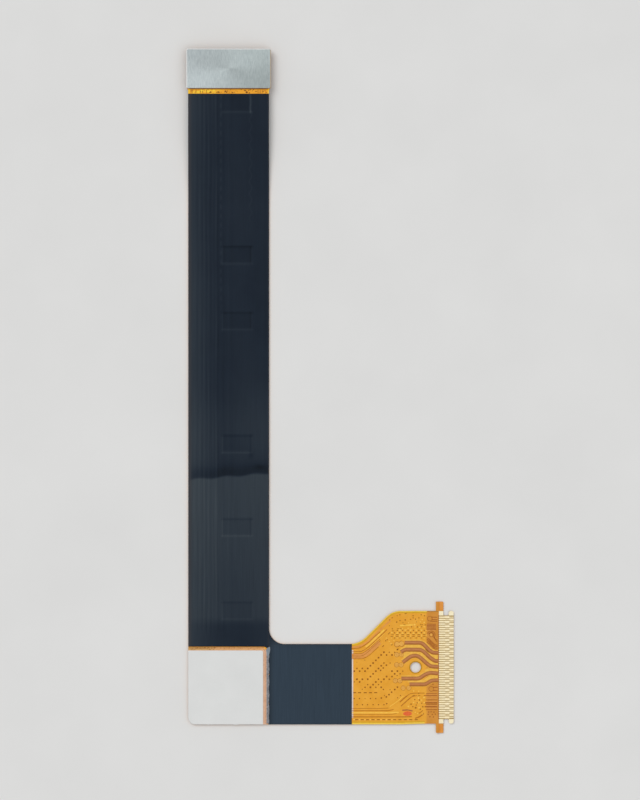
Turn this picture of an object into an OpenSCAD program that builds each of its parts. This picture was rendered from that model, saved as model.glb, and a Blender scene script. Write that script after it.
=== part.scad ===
// Flat flex cable: a printed flexible circuit with a 0.3 mm pitch contact tongue on its side arm
// and a board-to-board plug under a steel plate at the far end of its long strip.
// The origin is on the axis of the locating hole, where the hole meets the underside of the
// laminate. +X runs to the contact tip, +Y along the long strip, +Z to the contact side.

/* [Long strip] */
// Width of the long strip
strip_width = 10.65; // [9.5:0.05:13]
// Length of the cable, from the outer edge of the side arm to the end of the head
cable_length = 89.05; // [70:0.05:120]
// Radius of the outer corner between the strip and the side arm
outer_radius = 0.95; // [0.3:0.05:3]
// Radius of the inner corner between the strip and the side arm
inner_radius = 2.05; // [0.5:0.05:4]

/* [Side arm] */
// Width of the side arm next to the strip
arm_width = 10.6; // [9:0.05:11.5]
// Reach of the arm, from the outer edge of the strip to the contact tip
arm_reach = 35; // [31:0.05:50]
// Distance from the contact tip to the corner where the widened end starts
shoulder_from_tip = 8.1; // [7.6:0.05:9]
// Radius of the outer shoulder of the widened end
shoulder_radius = 2.5; // [0.5:0.05:4]
// Radius of the inner bend where the arm widens
flare_radius = 3; // [0.5:0.05:5]
// Extra width of the widened end on its lower side
lower_step = 0.1; // [0:0.01:0.3]

/* [Contact tongue] */
// Distance between neighbouring contacts
contact_pitch = 0.3; // [0.28:0.01:0.34]
// Number of fine contacts, an odd number
contact_count = 45; // [41:2:49]
// Margin from the last fine contact's middle to the tongue's edge
end_margin = 0.83; // [0.7:0.01:1.2]
// Length of the bare contacts
contact_length = 1.96; // [1.7:0.01:2.3]
// Width of a contact behind its landing
contact_width = 0.18; // [0.14:0.01:0.2]
// Width of a contact at its landing
landing_width = 0.27; // [0.22:0.01:0.3]
// Width of a contact beside a neighbour's landing
neck_width = 0.09; // [0.06:0.01:0.12]
// Width of each locking ear
ear_width = 0.98; // [0.8:0.01:1.2]
// Height of each locking ear
ear_height = 1.23; // [0.6:0.01:1.6]
// Width of the rounded tab between the notch and the tip
tab_width = 0.66; // [0.5:0.01:0.8]
// Width of the notch beside the ear
notch_width = 0.7; // [0.4:0.01:0.8]
// Depth of the notch beside the ear
notch_depth = 0.6; // [0.3:0.01:0.62]
// Radius of the tab's corners
tab_radius = 0.27; // [0.1:0.01:0.3]
// Diameter of the locating hole
hole_diameter = 1.4; // [1:0.05:1.6]
// Distance from the locating hole's axis to the contact tip
hole_from_tip = 5.03; // [4.9:0.01:5.3]
// Length of the stiffener behind the contacts
stiffener_length = 3.53; // [3.3:0.01:3.6]

/* [Laminate] */
// Thickness of the base film
base_thickness = 0.05; // [0.025:0.005:0.1]
// Thickness of each copper layer with its plating
copper_thickness = 0.035; // [0.02:0.005:0.06]
// Thickness of each coverlay above its copper
cover_thickness = 0.05; // [0.025:0.005:0.08]
// Thickness of each dark shield film
shield_thickness = 0.02; // [0.01:0.005:0.05]
// Thickness of the stiffener behind the contacts
stiffener_thickness = 0.075; // [0.05:0.005:0.08]
// How far a track stands proud through the films that cover it
relief = 0.015; // [0.005:0.005:0.03]
// Bare margin between the copper and the cable's edge
copper_margin = 0.3; // [0.2:0.01:0.4]
// Distance from the locating hole's axis to the end of the front shield film
shield_end = 8.4; // [7.5:0.05:9.5]

/* [Ground windows] */
// Length of each ground window, across the strip
window_length = 4; // [2:0.05:4.5]
// Height of each ground window, along the strip
window_height = 2.3; // [1:0.05:2.4]
// Distance from the strip's inner edge to the windows
window_margin = 2.2; // [1.6:0.05:2.4]

/* [Tracks] */
// Width of the power tracks
power_width = 0.52; // [0.3:0.01:0.56]
// Width of the signal tracks
signal_width = 0.13; // [0.08:0.01:0.16]
// Number of signal tracks along the strip
signal_count = 6; // [3:1:6]
// Diameter of the via pads
via_diameter = 0.54; // [0.4:0.01:0.56]
// Diameter of the plated drill in a via pad
drill_diameter = 0.13; // [0.08:0.01:0.2]
// Pitch of the diagonal ground hatch, along X and Y
hatch_pitch = 0.3625; // [0.33:0.0025:0.4]
// Width of the hatch lines
hatch_line = 0.13; // [0.08:0.01:0.2]
// Size across the corners of the small openings in the ground plane
opening_size = 0.28; // [0.15:0.01:0.32]

/* [Head] */
// Width of the head and of its steel plate
head_width = 11.16; // [10.9:0.02:14]
// Depth of the steel plate along the strip
plate_depth = 5.23; // [4.8:0.01:8]
// Thickness of the steel plate
plate_thickness = 0.2; // [0.1:0.05:0.5]
// Thickness of the adhesive under the plate
plate_bond = 0.05; // [0.03:0.01:0.1]
// Radius of the plate's corners
plate_radius = 0.3; // [0.1:0.05:1]
// Bare strip between the plate and the front shield film
bare_strip = 0.7; // [0.4:0.05:1.2]
// Length of the gentle bend that brings the strip down from the plug's height
ramp_length = 12; // [8:0.5:14]

/* [Plug] */
// Distance between neighbouring plug contacts
plug_pitch = 0.4; // [0.36:0.01:0.42]
// Number of contacts in each of the plug's two rows
plug_positions = 20; // [10:1:20]
// Height of the plug
plug_height = 0.8; // [0.6:0.05:1.2]
// Width of the plug's housing
plug_width = 2.1; // [1.9:0.05:2.3]
// Width of the plug's central groove
groove_width = 0.9; // [0.7:0.05:1.1]
// Width of one plug contact
plug_contact_width = 0.2; // [0.1:0.01:0.24]

/* [Corner pad] */
// Width of the white liner across the strip
liner_width = 9.87; // [8:0.01:10]
// Height of the white liner along the strip
liner_height = 9.75; // [8:0.01:9.9]
// Thickness of the white liner
liner_thickness = 0.08; // [0.04:0.01:0.15]
// Thickness of the adhesive pad under the liner
pad_thickness = 0.05; // [0.03:0.01:0.15]
// How far the pad shows past the liner
pad_rim = 0.45; // [0.2:0.01:0.5]

/* [Hidden] */

// Levels of the laminate, from its underside up
z_rest = -shield_thickness;
z_back_copper = cover_thickness;
z_base = z_back_copper + copper_thickness;
z_front_copper = z_base + base_thickness;
z_front_cover = z_front_copper + copper_thickness;
z_cover_top = z_front_cover + cover_thickness;
z_film_top = z_cover_top + shield_thickness;

// The plan of the cable
tip_x = hole_from_tip;
strip_left = tip_x - arm_reach;
strip_right = strip_left + strip_width;
strip_mid = strip_left + strip_width / 2;
half_tongue = (contact_count - 1) * contact_pitch / 2 + end_margin;
arm_bottom = -half_tongue - lower_step;
arm_top = arm_bottom + arm_width;
shoulder_x = tip_x - shoulder_from_tip;
flare_x = shoulder_x - (half_tongue - arm_top);
head_top = arm_bottom + cable_length;
head_y = head_top - plate_depth;
head_mid = head_top - plate_depth / 2;
head_chamfer = (head_width - strip_width) / 2;
coverlay_end = tip_x - contact_length;
stiffener_x = tip_x - stiffener_length;
tongue_root = stiffener_x + 0.2;
tab_x = tip_x - tab_width;
ear_right = tab_x - notch_width;
ear_left = ear_right - ear_width;
ear_radius = 0.12;
notch_radius = 0.2;
ground_end = stiffener_x - 0.15;
hole_clearance = 0.35;

// The bend from the plug's height down to the surface
lift = plug_height - shield_thickness;
ramp_top = head_y - bare_strip - window_height - 0.75;
ramp_bottom = ramp_top - ramp_length;
ramp_steps = 8;

// The front shield film and the corner pad that it leaves free
film_top = head_y - bare_strip;
pad_right = strip_left + liner_width + pad_rim;
pad_top = arm_bottom + liner_height + pad_rim;
pad_radius = 0.7;
film_side_gap = 0.25;
film_top_gap = 0.05;

// Ground windows, as distances from the plate's edge down to each window's middle
window_steps = [2, 21.95, 30.65, 46.85, 57.85, 68.85];
window_x = strip_right - window_margin - window_length / 2;
window_clear = window_height / 2 + 0.3;

// Tracks of the strip, the corner and the arm
lane_margin = 1.3;
lane_gap = 0.65;
lane_left = strip_left + lane_margin;
lane_right = window_x - window_length / 2 - lane_gap;
arm_track_pitch = 0.27;
arm_track_top = arm_top - 0.59;
corner_cut = 3;
slope_inset = 0.5;
slope_pitch = 0.3;
signal_turn_top = arm_track_top + corner_cut + 0.35;
signal_end_x = shoulder_x - 0.05;
window_places = [
    for (step = window_steps)
    let (y = head_y - step)
    if (y - window_clear > signal_turn_top && (y + window_clear < ramp_bottom
        || y - window_clear > ramp_top - 0.3)) y
];
pour_left = window_x - window_length / 2 - 0.3;
finger_root = coverlay_end - 0.12;
hatch_left = shoulder_x + 0.25;
hatch_bottom = 3.8;

function unit(v) = v / norm(v);
function perp(v) = [-v[1], v[0]];
function reverse(list) = [for (i = [len(list) - 1:-1:0]) list[i]];
function cross2(a, b) = a[0] * b[1] - a[1] * b[0];
function xy(p) = [p[0], p[1]];

// Points of one rounded corner: p is [x, y, radius], a and b are its neighbours
function corner(a, p, b) =
    let (
        u = unit(xy(a) - xy(p)),
        v = unit(xy(b) - xy(p)),
        half = acos(u * v) / 2,
        centre = xy(p) + unit(u + v) * p[2] / sin(half),
        turn = 180 - 2 * half,
        steps = max(2, ceil(turn / (p[2] < 0.5 ? 22.5 : 12))),
        from = xy(p) + u * p[2] / tan(half) - centre,
        way = cross2(u, v) < 0 ? 1 : -1
    )
    p[2] <= 0 ? [xy(p)] : [
        for (i = [0:steps])
        let (a = way * turn * i / steps)
        centre + [from[0] * cos(a) - from[1] * sin(a), from[0] * sin(a) + from[1] * cos(a)]
    ];

function rounded(c) =
    let (n = len(c))
    [for (i = [0:n - 1]) each corner(c[(i + n - 1) % n], c[i], c[(i + 1) % n])];

// The same anticlockwise corners, moved inwards by d with their radii fitted
function inset(c, d) =
    let (n = len(c))
    [
        for (i = [0:n - 1])
        let (
            p = c[i],
            e = unit(xy(p) - xy(c[(i + n - 1) % n])),
            f = unit(xy(c[(i + 1) % n]) - xy(p)),
            m = (perp(e) + perp(f)) * d / (1 + e * f)
        )
        [p[0] + m[0], p[1] + m[1], p[2] <= 0 ? 0 : max(0.02, p[2] - d * sign(cross2(e, f)))]
    ];

// One side of a track: the points of its middle line, moved sideways by d
function side(points, d) = [
    for (i = [0:len(points) - 1])
    let (
        a = unit(points[max(i, 1)] - points[max(i, 1) - 1]),
        b = i < len(points) - 1 ? unit(points[i + 1] - points[i]) : a,
        m = unit(a + b)
    )
    points[i] + perp(m) * d / (m * a)
];

// Corners of the cable from its lower left, anticlockwise, without the tongue's ears and tabs
body_corners = [
    [strip_left, arm_bottom, outer_radius],
    [-2, arm_bottom, 0],
    [stiffener_x, -half_tongue, 0],
    [tongue_root, -half_tongue, 0],
    [tongue_root, half_tongue, 0],
    [shoulder_x, half_tongue, shoulder_radius],
    [flare_x, arm_top, flare_radius],
    [strip_right, arm_top, inner_radius],
    [strip_right, head_y - 0.2, 0],
    [strip_right + head_chamfer, head_y + 0.1, 0],
    [strip_right + head_chamfer, head_top, plate_radius],
    [strip_left - head_chamfer, head_top, plate_radius],
    [strip_left - head_chamfer, head_y + 0.1, 0],
    [strip_left, head_y - 0.2, 0]
];

// Corners of the tongue's lower half, from its root to the tip
lower_tongue = [
    [stiffener_x, -half_tongue, 0],
    [ear_left, -half_tongue, ear_radius],
    [ear_left, -half_tongue - ear_height, ear_radius],
    [ear_right, -half_tongue - ear_height, ear_radius],
    [ear_right, -half_tongue + notch_depth, notch_radius],
    [tab_x, -half_tongue + notch_depth, notch_radius],
    [tab_x, -half_tongue, tab_radius],
    [tip_x, -half_tongue, tab_radius]
];
tongue_corners = concat(lower_tongue, reverse([for (p = lower_tongue) [p[0], -p[1], p[2]]]));

// Places of the power tracks at the contacts, in contact pitches from the tongue's middle
power_slots = [6.5, 2.9, 0.2, -2.5, -5.5];
// X of the last bend of each power track
power_bends = [1.95, 2.12, 1.98, 1.56, 1.96];
function power_y(k) = power_slots[k] * contact_pitch;

// The end of power track k, which comes along Y = y and turns at 45 degrees to its contacts
function power_end(k, y) = [
    [power_bends[k] - abs(y - power_y(k)), y], [power_bends[k], power_y(k)],
    [finger_root, power_y(k)]
];
power_lines = [
    concat([[-1.8, 3.31]], power_end(0, 3.31)),
    concat([[-1.86, 1.75], [-1.27, 2.34]], power_end(1, 2.34)),
    concat([[-1.86, 0.4], [-0.72, 1.54]], power_end(2, 1.54)),
    concat([[-2, -1.47]], power_end(3, -1.47)),
    concat([[-0.9, -2.5], [-0.62, -2.22]], power_end(4, -2.22))
];

// Middles of the via pads
via_places = [
    [-2.49, 3.08], [-1.88, 3.08], [-2.42, 1.69], [-1.86, 1.69], [-2.49, 0.34], [-1.88, 0.34],
    [-2.61, -1.75], [-2, -1.75], [-1.58, -2.7], [-0.91, -2.7],
    [1.87, 6.44], [2.1, 4.3], [2.08, -2.77]
];

// Middle line of signal track i, counted from the outer edge of the strip
function lane_x(i) = lane_left + (lane_right - lane_left) * i / (signal_count - 1);
function arm_y(i) = arm_track_top - (signal_count - 1 - i) * arm_track_pitch;
function slope_shift(i) =
    half_tongue - shoulder_x - (slope_inset + (signal_count - 1 - i) * slope_pitch) * sqrt(2);
function signal_line(i) = [
    [lane_x(i), head_y + 0.8],
    [lane_x(i), arm_y(i) + corner_cut],
    [lane_x(i) + corner_cut, arm_y(i)],
    [arm_y(i) - slope_shift(i), arm_y(i)],
    [signal_end_x, signal_end_x + slope_shift(i)]
];

// Points of the bend's profile at height z above the laminate's underside, from low to high
function ramp_point(u, z) =
    let (
        rise = lift * u * u * (3 - 2 * u),
        slope = lift * 6 * u * (1 - u) / ramp_length,
        up = unit([-slope, 1])
    )
    [ramp_bottom + u * ramp_length, rise] + up * z;
function ramp_line(z) = [
    [ramp_bottom - 0.1, z],
    for (i = [0:ramp_steps]) ramp_point(i / ramp_steps, z),
    [ramp_top + 0.1, lift + z]
];

module track(points, width) {
    polygon(concat(side(points, -width / 2), reverse(side(points, width / 2))));
}

module box(x0, x1, y0, y1) {
    translate([x0, y0]) square([x1 - x0, y1 - y0]);
}

module slab(z, thickness) {
    translate([0, 0, z]) linear_extrude(thickness) children();
}

// A sheet between two X values that follows the bend at height z
module ramp(lane, z, thickness) {
    translate([lane[0], 0, 0])
        rotate([90, 0, 90])
        linear_extrude(lane[1] - lane[0])
        polygon(concat(ramp_line(z), reverse(ramp_line(z + thickness))));
}

// Lays a plan shape into the cable at height z: flat below the bend, raised above it, and as
// sheets along the given lanes on the bend itself
module laid(z, thickness, lanes) {
    slab(z, thickness) intersection() {
        children();
        box(strip_left - 1, tip_x + 1, arm_bottom - 2, ramp_bottom);
    }
    slab(lift + z, thickness) intersection() {
        children();
        box(strip_left - 1, strip_right + 1, ramp_top, head_top + 1);
    }
    for (lane = lanes) ramp(lane, z, thickness);
}

module hole(extra) {
    circle(d = hole_diameter + 2 * extra, $fn = 48);
}

module body_plan() {
    polygon(rounded(body_corners));
}

module tongue_plan() {
    polygon(rounded(tongue_corners));
}

module cable_plan() {
    body_plan();
    tongue_plan();
}

// The area that the copper may fill
module copper_plan() {
    polygon(rounded(inset(body_corners, copper_margin)));
}

strip_lane = [strip_left, strip_right];
copper_lane = [strip_left + copper_margin, strip_right - copper_margin];

module window_pockets(shrink, z, thickness) {
    for (y = window_places)
        translate([window_x, y, z + (y > ramp_top ? lift : 0)])
        linear_extrude(thickness)
        square([window_length - 2 * shrink, window_height - 2 * shrink], center = true);
}

// Two windows over the rows of lands, and one at each end for the anchors
row_length = (plug_positions - 1) * plug_pitch;
plug_length = row_length + 1.9;
row_window = 0.8;
anchor_window = 0.6;
anchor_width = 1.2;

module plug_windows() {
    translate([strip_mid, head_mid]) for (s = [-1, 1]) {
        translate([0, s * (plug_width + row_window) / 2])
            square([row_length + 0.6, row_window], center = true);
        translate([s * (plug_length + anchor_window) / 2, 0])
            square([anchor_window, anchor_width + 0.2], center = true);
    }
}

module base_film() {
    color([0.85, 0.55, 0.2]) difference() {
        laid(z_base, base_thickness, [strip_lane]) cable_plan();
        slab(z_base - 1, 2) hole(0);
    }
}

module front_coverlay() {
    color([0.9, 0.62, 0.2, 0.45]) difference() {
        union() {
            laid(z_front_copper, copper_thickness + cover_thickness, [strip_lane])
                intersection() {
                    cable_plan();
                    box(strip_left - 1, coverlay_end, arm_bottom - 2, head_top + 1);
                }
            slab(z_cover_top, relief) intersection() {
                union() {
                    for (line = power_lines) track(line, power_width + 2 * relief);
                    for (i = [0:signal_count - 1])
                        track(signal_line(i), signal_width + 2 * relief);
                }
                box(-shield_end + 0.2, coverlay_end - 0.2, -half_tongue, half_tongue);
            }
        }
        laid(z_front_copper, copper_thickness, [copper_lane]) difference() {
            union() {
                copper_plan();
                box(ground_end - 0.1, coverlay_end, -half_tongue + copper_margin,
                    half_tongue - copper_margin);
            }
            hole(hole_clearance);
        }
        slab(z_front_copper - 1, 2) hole(0);
        window_pockets(0, z_front_cover - 0.01, cover_thickness + 0.02);
    }
}

module back_coverlay() {
    color([0.8, 0.5, 0.18, 0.6]) difference() {
        laid(0, cover_thickness + copper_thickness, [strip_lane]) intersection() {
            body_plan();
            box(strip_left - 1, stiffener_x, arm_bottom - 2, head_top + 1);
        }
        laid(z_back_copper, copper_thickness, [copper_lane]) ground_outline();
        slab(-1, 2) hole(0);
        slab(lift - 0.5, 1) plug_windows();
    }
}

// The full copper field on the back, up to the plug and the stiffener
module ground_outline() {
    difference() {
        intersection() {
            copper_plan();
            box(strip_left, ground_end, arm_bottom, head_y - 0.3);
        }
        hole(hole_clearance);
    }
}

// Small openings of the ground plane: diagonal rows, short zigzags and rows of dashes
opening_x = -5.23;
opening_y = -0.53;
module ground_openings() {
    for (row = [0:3], i = [-4:5]) {
        j = i + 4 - 4 * row;
        y = opening_y + j * hatch_pitch;
        if (y > -3.2 && y < 2.1)
            translate([opening_x + i * hatch_pitch, y]) circle(d = opening_size, $fn = 4);
    }
    for (row = [0, -4], i = [-7:-5])
        translate([opening_x + i * hatch_pitch, opening_y + (row + abs(i) % 2) * hatch_pitch])
            circle(d = opening_size, $fn = 4);
    for (row = [0:2], i = [0:4])
        translate([-7.75 + 2 * i * hatch_pitch, -3.4 - 2 * row * hatch_pitch])
            square([opening_size * 1.3, opening_size * 0.45], center = true);
    for (i = [0:10])
        translate([-7.9 + 2 * i * hatch_pitch, -6.9])
            square([opening_size * 1.4, opening_size * 0.45], center = true);
}

module ground_plane() {
    color([0.93, 0.7, 0.35])
        laid(z_back_copper, copper_thickness, [copper_lane]) difference() {
            ground_outline();
            ground_openings();
        }
}

// Copper pour along the inner half of the strip, under its windows, and along the arm
module front_ground() {
    arm_pour_top = arm_y(0) - signal_width / 2 - 0.25;
    color([0.78, 0.5, 0.3])
        laid(z_front_copper, copper_thickness, [[pour_left, copper_lane[1]]]) {
            union() {
                box(pour_left, copper_lane[1], signal_turn_top, head_y - 0.35);
                box(lane_x(0) + corner_cut + 0.5, -shield_end - 0.3,
                    arm_bottom + copper_margin, arm_pour_top);
            }
        }
}

module hatch_lines() {
    for (i = [-16:16], s = [-1, 1])
        translate([2 * i * hatch_pitch, 0])
            rotate(45 * s)
            square([24, hatch_line], center = true);
}

module ground_hatch() {
    slope_clear = slope_inset + signal_width;
    color([0.72, 0.44, 0.25]) slab(z_front_copper, copper_thickness) intersection() {
        hatch_lines();
        union() {
            polygon([
                [hatch_left, hatch_bottom], [ground_end, hatch_bottom],
                [ground_end, half_tongue - copper_margin],
                [shoulder_x + 1.1, half_tongue - copper_margin],
                [hatch_left, half_tongue - 1.2 * slope_clear - 0.35]
            ]);
            polygon([[0.15, -3.35], [ground_end, -3.35], [ground_end, -5.7], [-2, -5.7],
                [-2.15, -5.6]]);
        }
    }
}

module signal_tracks() {
    color([0.72, 0.44, 0.25])
        laid(z_front_copper, copper_thickness,
            [for (i = [0:signal_count - 1])
                [lane_x(i) - signal_width / 2, lane_x(i) + signal_width / 2]])
            for (i = [0:signal_count - 1]) track(signal_line(i), signal_width);
}

module power_tracks() {
    color([0.74, 0.44, 0.28]) slab(z_front_copper, copper_thickness) difference() {
        for (line = power_lines) track(line, power_width);
        for (place = via_places) translate(place) circle(d = via_diameter, $fn = 12);
    }
}

// Three tracks along the lower edge of the arm; two turn up beside the lower hatch
return_heights = [1.79, 1.3, 0.98];
return_widths = [0.13, 0.1, 0.25];
return_turns = [-3.55, -3.3, -0.5];
return_rises = [2.35, 2.7, 0.4];
module return_tracks() {
    start_x = -shield_end - 0.2;
    color([0.7, 0.42, 0.22]) slab(z_front_copper, copper_thickness) for (i = [0:2]) {
        y = arm_bottom + return_heights[i];
        last = [return_turns[i] + return_rises[i], y + return_rises[i]];
        line = [[start_x, y], [return_turns[i], y], last];
        track(i < 2 ? line : concat(line, [[ground_end, last[1]]]), return_widths[i]);
    }
}

// Fine tracks between the hatch and the contacts, on the contacts' own pitch
module tongue_tracks() {
    line_start = ground_end + 0.15;
    color([0.72, 0.44, 0.25]) slab(z_front_copper, copper_thickness) difference() {
        union() {
            for (i = [15:20])
                track([[line_start, i * contact_pitch], [finger_root, i * contact_pitch]],
                    signal_width);
            for (i = [8:10])
                track([[line_start, (i + 4) * contact_pitch],
                    [line_start + 4 * contact_pitch, i * contact_pitch],
                    [finger_root, i * contact_pitch]], signal_width);
            for (i = [12:18])
                track([[line_start, -i * contact_pitch], [finger_root, -i * contact_pitch]],
                    signal_width);
            for (lead = [[via_places[10], 21], [via_places[11], 14], [via_places[12], -9]])
                track([lead[0], [finger_root - 0.3, lead[1] * contact_pitch],
                    [finger_root, lead[1] * contact_pitch]], signal_width);
        }
        for (place = via_places) translate(place) circle(d = via_diameter, $fn = 12);
    }
}

module via_pads() {
    color([0.85, 0.58, 0.3]) slab(z_front_copper, copper_thickness)
        for (place = via_places) translate(place) difference() {
            circle(d = via_diameter, $fn = 12);
            circle(d = drill_diameter, $fn = 6);
        }
}

// Half outline of a contact: even contacts land behind odd ones, so the tips are staggered
function finger_half(even) =
    let (
        mid = coverlay_end + 0.4 * contact_length,
        step = coverlay_end + 0.68 * contact_length,
        blend = 0.06 * contact_length,
        near = (even ? landing_width : neck_width) / 2,
        far = (even ? neck_width : landing_width) / 2
    )
    [
        [finger_root, contact_width / 2], [mid, contact_width / 2], [mid + blend, near],
        [step, near], [step + blend, far], [tip_x, far]
    ];

module contact_fingers() {
    last = (contact_count - 1) / 2;
    color([0.95, 0.83, 0.55]) slab(z_front_copper, copper_thickness)
        for (i = [-last:last]) {
            half = finger_half(abs(i) % 2 == 0);
            translate([0, i * contact_pitch])
                polygon(concat([for (p = half) [p[0], -p[1]]], reverse(half)));
        }
}

module end_pads() {
    gap = 0.1;
    inner = half_tongue - end_margin + landing_width / 2 + gap;
    color([0.97, 0.9, 0.7]) slab(z_front_copper, copper_thickness) intersection() {
        tongue_plan();
        for (s = [-1, 1]) {
            box(coverlay_end, ear_right, min(s * inner, s * (half_tongue - 0.03)),
                max(s * inner, s * (half_tongue - 0.03)));
            box(tab_x, tip_x, min(s * inner, s * half_tongue),
                max(s * inner, s * half_tongue));
        }
    }
}

// Plan of the shield films: the strip and the arm, short of the head and the widened end
module film_plan() {
    intersection() {
        body_plan();
        box(strip_left, -shield_end, arm_bottom, film_top);
    }
}

// The corner that the front film leaves free around the pad
module pad_clearing() {
    polygon(rounded([
        [strip_left - 1, arm_bottom - 1, 0],
        [pad_right + film_side_gap, arm_bottom - 1, 0],
        [pad_right + film_side_gap, pad_top + film_top_gap, pad_radius],
        [strip_left - 1, pad_top + film_top_gap, 0]
    ]));
}

module front_shield_film() {
    pocket_top = copper_thickness + cover_thickness;
    color([0.15, 0.18, 0.22]) difference() {
        union() {
            laid(z_cover_top, shield_thickness, [strip_lane]) difference() {
                film_plan();
                pad_clearing();
            }
            window_pockets(0, z_front_cover, cover_thickness + shield_thickness);
            laid(z_film_top, relief, [for (i = [0:signal_count - 1])
                [lane_x(i) - signal_width, lane_x(i) + signal_width]])
                for (i = [0:signal_count - 1])
                    box(lane_x(i) - signal_width, lane_x(i) + signal_width,
                        signal_turn_top, film_top);
        }
        window_pockets(shield_thickness, z_front_cover + shield_thickness, pocket_top);
    }
}

module back_shield_film() {
    color([0.13, 0.15, 0.18]) laid(z_rest, shield_thickness, [strip_lane]) film_plan();
}

module film_edge_seal() {
    color([0.85, 0.75, 0.68]) slab(z_cover_top, relief)
        box(-shield_end, -shield_end + 0.18, arm_bottom + 0.85, arm_top - 0.8);
}

module contact_stiffener() {
    color([0.8, 0.5, 0.2]) slab(z_rest, stiffener_thickness) tongue_plan();
}

module stiffener_adhesive() {
    color([0.9, 0.75, 0.5])
        slab(z_rest + stiffener_thickness, z_base - z_rest - stiffener_thickness)
        tongue_plan();
}

// The pad, or a sheet on it that ends short of its two inner sides by the margin
module pad_sheet(margin) {
    polygon(rounded([
        [strip_left, arm_bottom, outer_radius],
        [pad_right - margin, arm_bottom, 0],
        [pad_right - margin, pad_top - margin, pad_radius - margin],
        [strip_left, pad_top - margin, 0]
    ]));
}

module adhesive_pad() {
    color([0.82, 0.66, 0.48]) slab(z_cover_top, pad_thickness) pad_sheet(0);
}

module release_liner() {
    color([0.85, 0.86, 0.86]) slab(z_cover_top + pad_thickness, liner_thickness)
        pad_sheet(pad_rim);
}

module plate_outline(margin) {
    polygon(rounded([for (corner = [[-1, -1], [1, -1], [1, 1], [-1, 1]])
        [
            strip_mid + corner[0] * (head_width / 2 - margin),
            head_mid + corner[1] * (plate_depth / 2 - margin),
            plate_radius * (corner[1] > 0 ? 1 : 0.3)
        ]]));
}

module plate_adhesive() {
    color([0.9, 0.85, 0.7]) slab(lift + z_cover_top, plate_bond) plate_outline(0.06);
}

module head_plate() {
    color([0.68, 0.71, 0.72]) slab(lift + z_cover_top + plate_bond, plate_thickness)
        plate_outline(0.02);
}

// The plug hangs under the head; its own zero is the laminate's underside
contact_sheet = 0.08;
groove_depth = 0.6;
rim = 0.02;

module at_plug() {
    translate([strip_mid, head_mid, lift]) children();
}

module plug_housing() {
    chamfer = 0.2;
    x = plug_length / 2;
    y = plug_width / 2;
    color([0.12, 0.12, 0.13]) at_plug() difference() {
        slab(-plug_height, plug_height) polygon([
            [-x, -y + chamfer], [-x + chamfer, -y], [x - chamfer, -y], [x, -y + chamfer],
            [x, y - chamfer], [x - chamfer, y], [-x + chamfer, y], [-x, y - chamfer]
        ]);
        slab(-plug_height - 1, groove_depth + 1)
            square([plug_length - 1.2, groove_width], center = true);
        slab(-plug_height - 1, contact_sheet + rim + 1)
            square([row_length + plug_pitch, plug_width + 1], center = true);
    }
}

// Side view of one contact: it clips over the housing's wall and ends in a flat foot
module contact_profile() {
    wall_in = groove_width / 2;
    wall_out = plug_width / 2;
    t = contact_sheet;
    low = -plug_height + rim;
    bend = 0.6 * t;
    foot_end = wall_out + 0.55;
    polygon([
        [wall_in - t, low + 0.43], [wall_in - t, low + bend], [wall_in - t + bend, low],
        [wall_out + t - bend, low], [wall_out + t, low + bend],
        [wall_out + t, z_back_copper - t], [foot_end, z_back_copper - t],
        [foot_end, z_back_copper], [wall_out, z_back_copper], [wall_out, low + t],
        [wall_in, low + t], [wall_in, low + 0.43]
    ]);
}

module each_contact() {
    for (s = [0, 1], i = [0:plug_positions - 1])
        mirror([0, s, 0])
        translate([i * plug_pitch - row_length / 2 - plug_contact_width / 2, 0, 0])
        rotate([90, 0, 90])
        linear_extrude(plug_contact_width)
        children();
}

module plug_contacts() {
    color([0.93, 0.76, 0.4]) at_plug() each_contact() contact_profile();
}

module solder_fillets() {
    toe = plug_width / 2 + 0.55;
    color([0.72, 0.73, 0.75]) at_plug() each_contact()
        polygon([[toe, z_back_copper - 0.9 * contact_sheet], [toe + 0.12, z_back_copper],
            [toe, z_back_copper]]);
}

module plug_lands() {
    land_length = row_window - 0.12;
    color([0.9, 0.68, 0.35]) at_plug() slab(z_back_copper, copper_thickness)
        for (s = [-1, 1]) {
            for (i = [0:plug_positions - 1])
                translate([i * plug_pitch - row_length / 2, s * (plug_width + row_window) / 2])
                    square([plug_contact_width + 0.02, land_length], center = true);
            translate([s * (plug_length + anchor_window) / 2, 0])
                square([anchor_window - 0.1, anchor_width], center = true);
        }
}

// A folded clip on each end wall of the plug, soldered to its own land
module plug_anchors() {
    t = 0.1;
    x = plug_length / 2;
    color([0.75, 0.76, 0.78]) at_plug() for (s = [0, 1])
        mirror([s, 0, 0])
        translate([0, anchor_width / 2, 0])
        rotate([90, 0, 0])
        linear_extrude(anchor_width)
        polygon([
            [x, -plug_height + 0.2], [x + t, -plug_height + 0.2], [x + t, z_back_copper - t],
            [x + 0.5, z_back_copper - t], [x + 0.5, z_back_copper], [x, z_back_copper]
        ]);
}

base_film();
front_coverlay();
back_coverlay();
ground_plane();
front_ground();
ground_hatch();
signal_tracks();
power_tracks();
return_tracks();
tongue_tracks();
via_pads();
contact_fingers();
end_pads();
front_shield_film();
back_shield_film();
film_edge_seal();
contact_stiffener();
stiffener_adhesive();
adhesive_pad();
release_liner();
head_plate();
plate_adhesive();
plug_housing();
plug_contacts();
plug_anchors();
plug_lands();
solder_fillets();
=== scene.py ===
import math
import random

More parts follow.
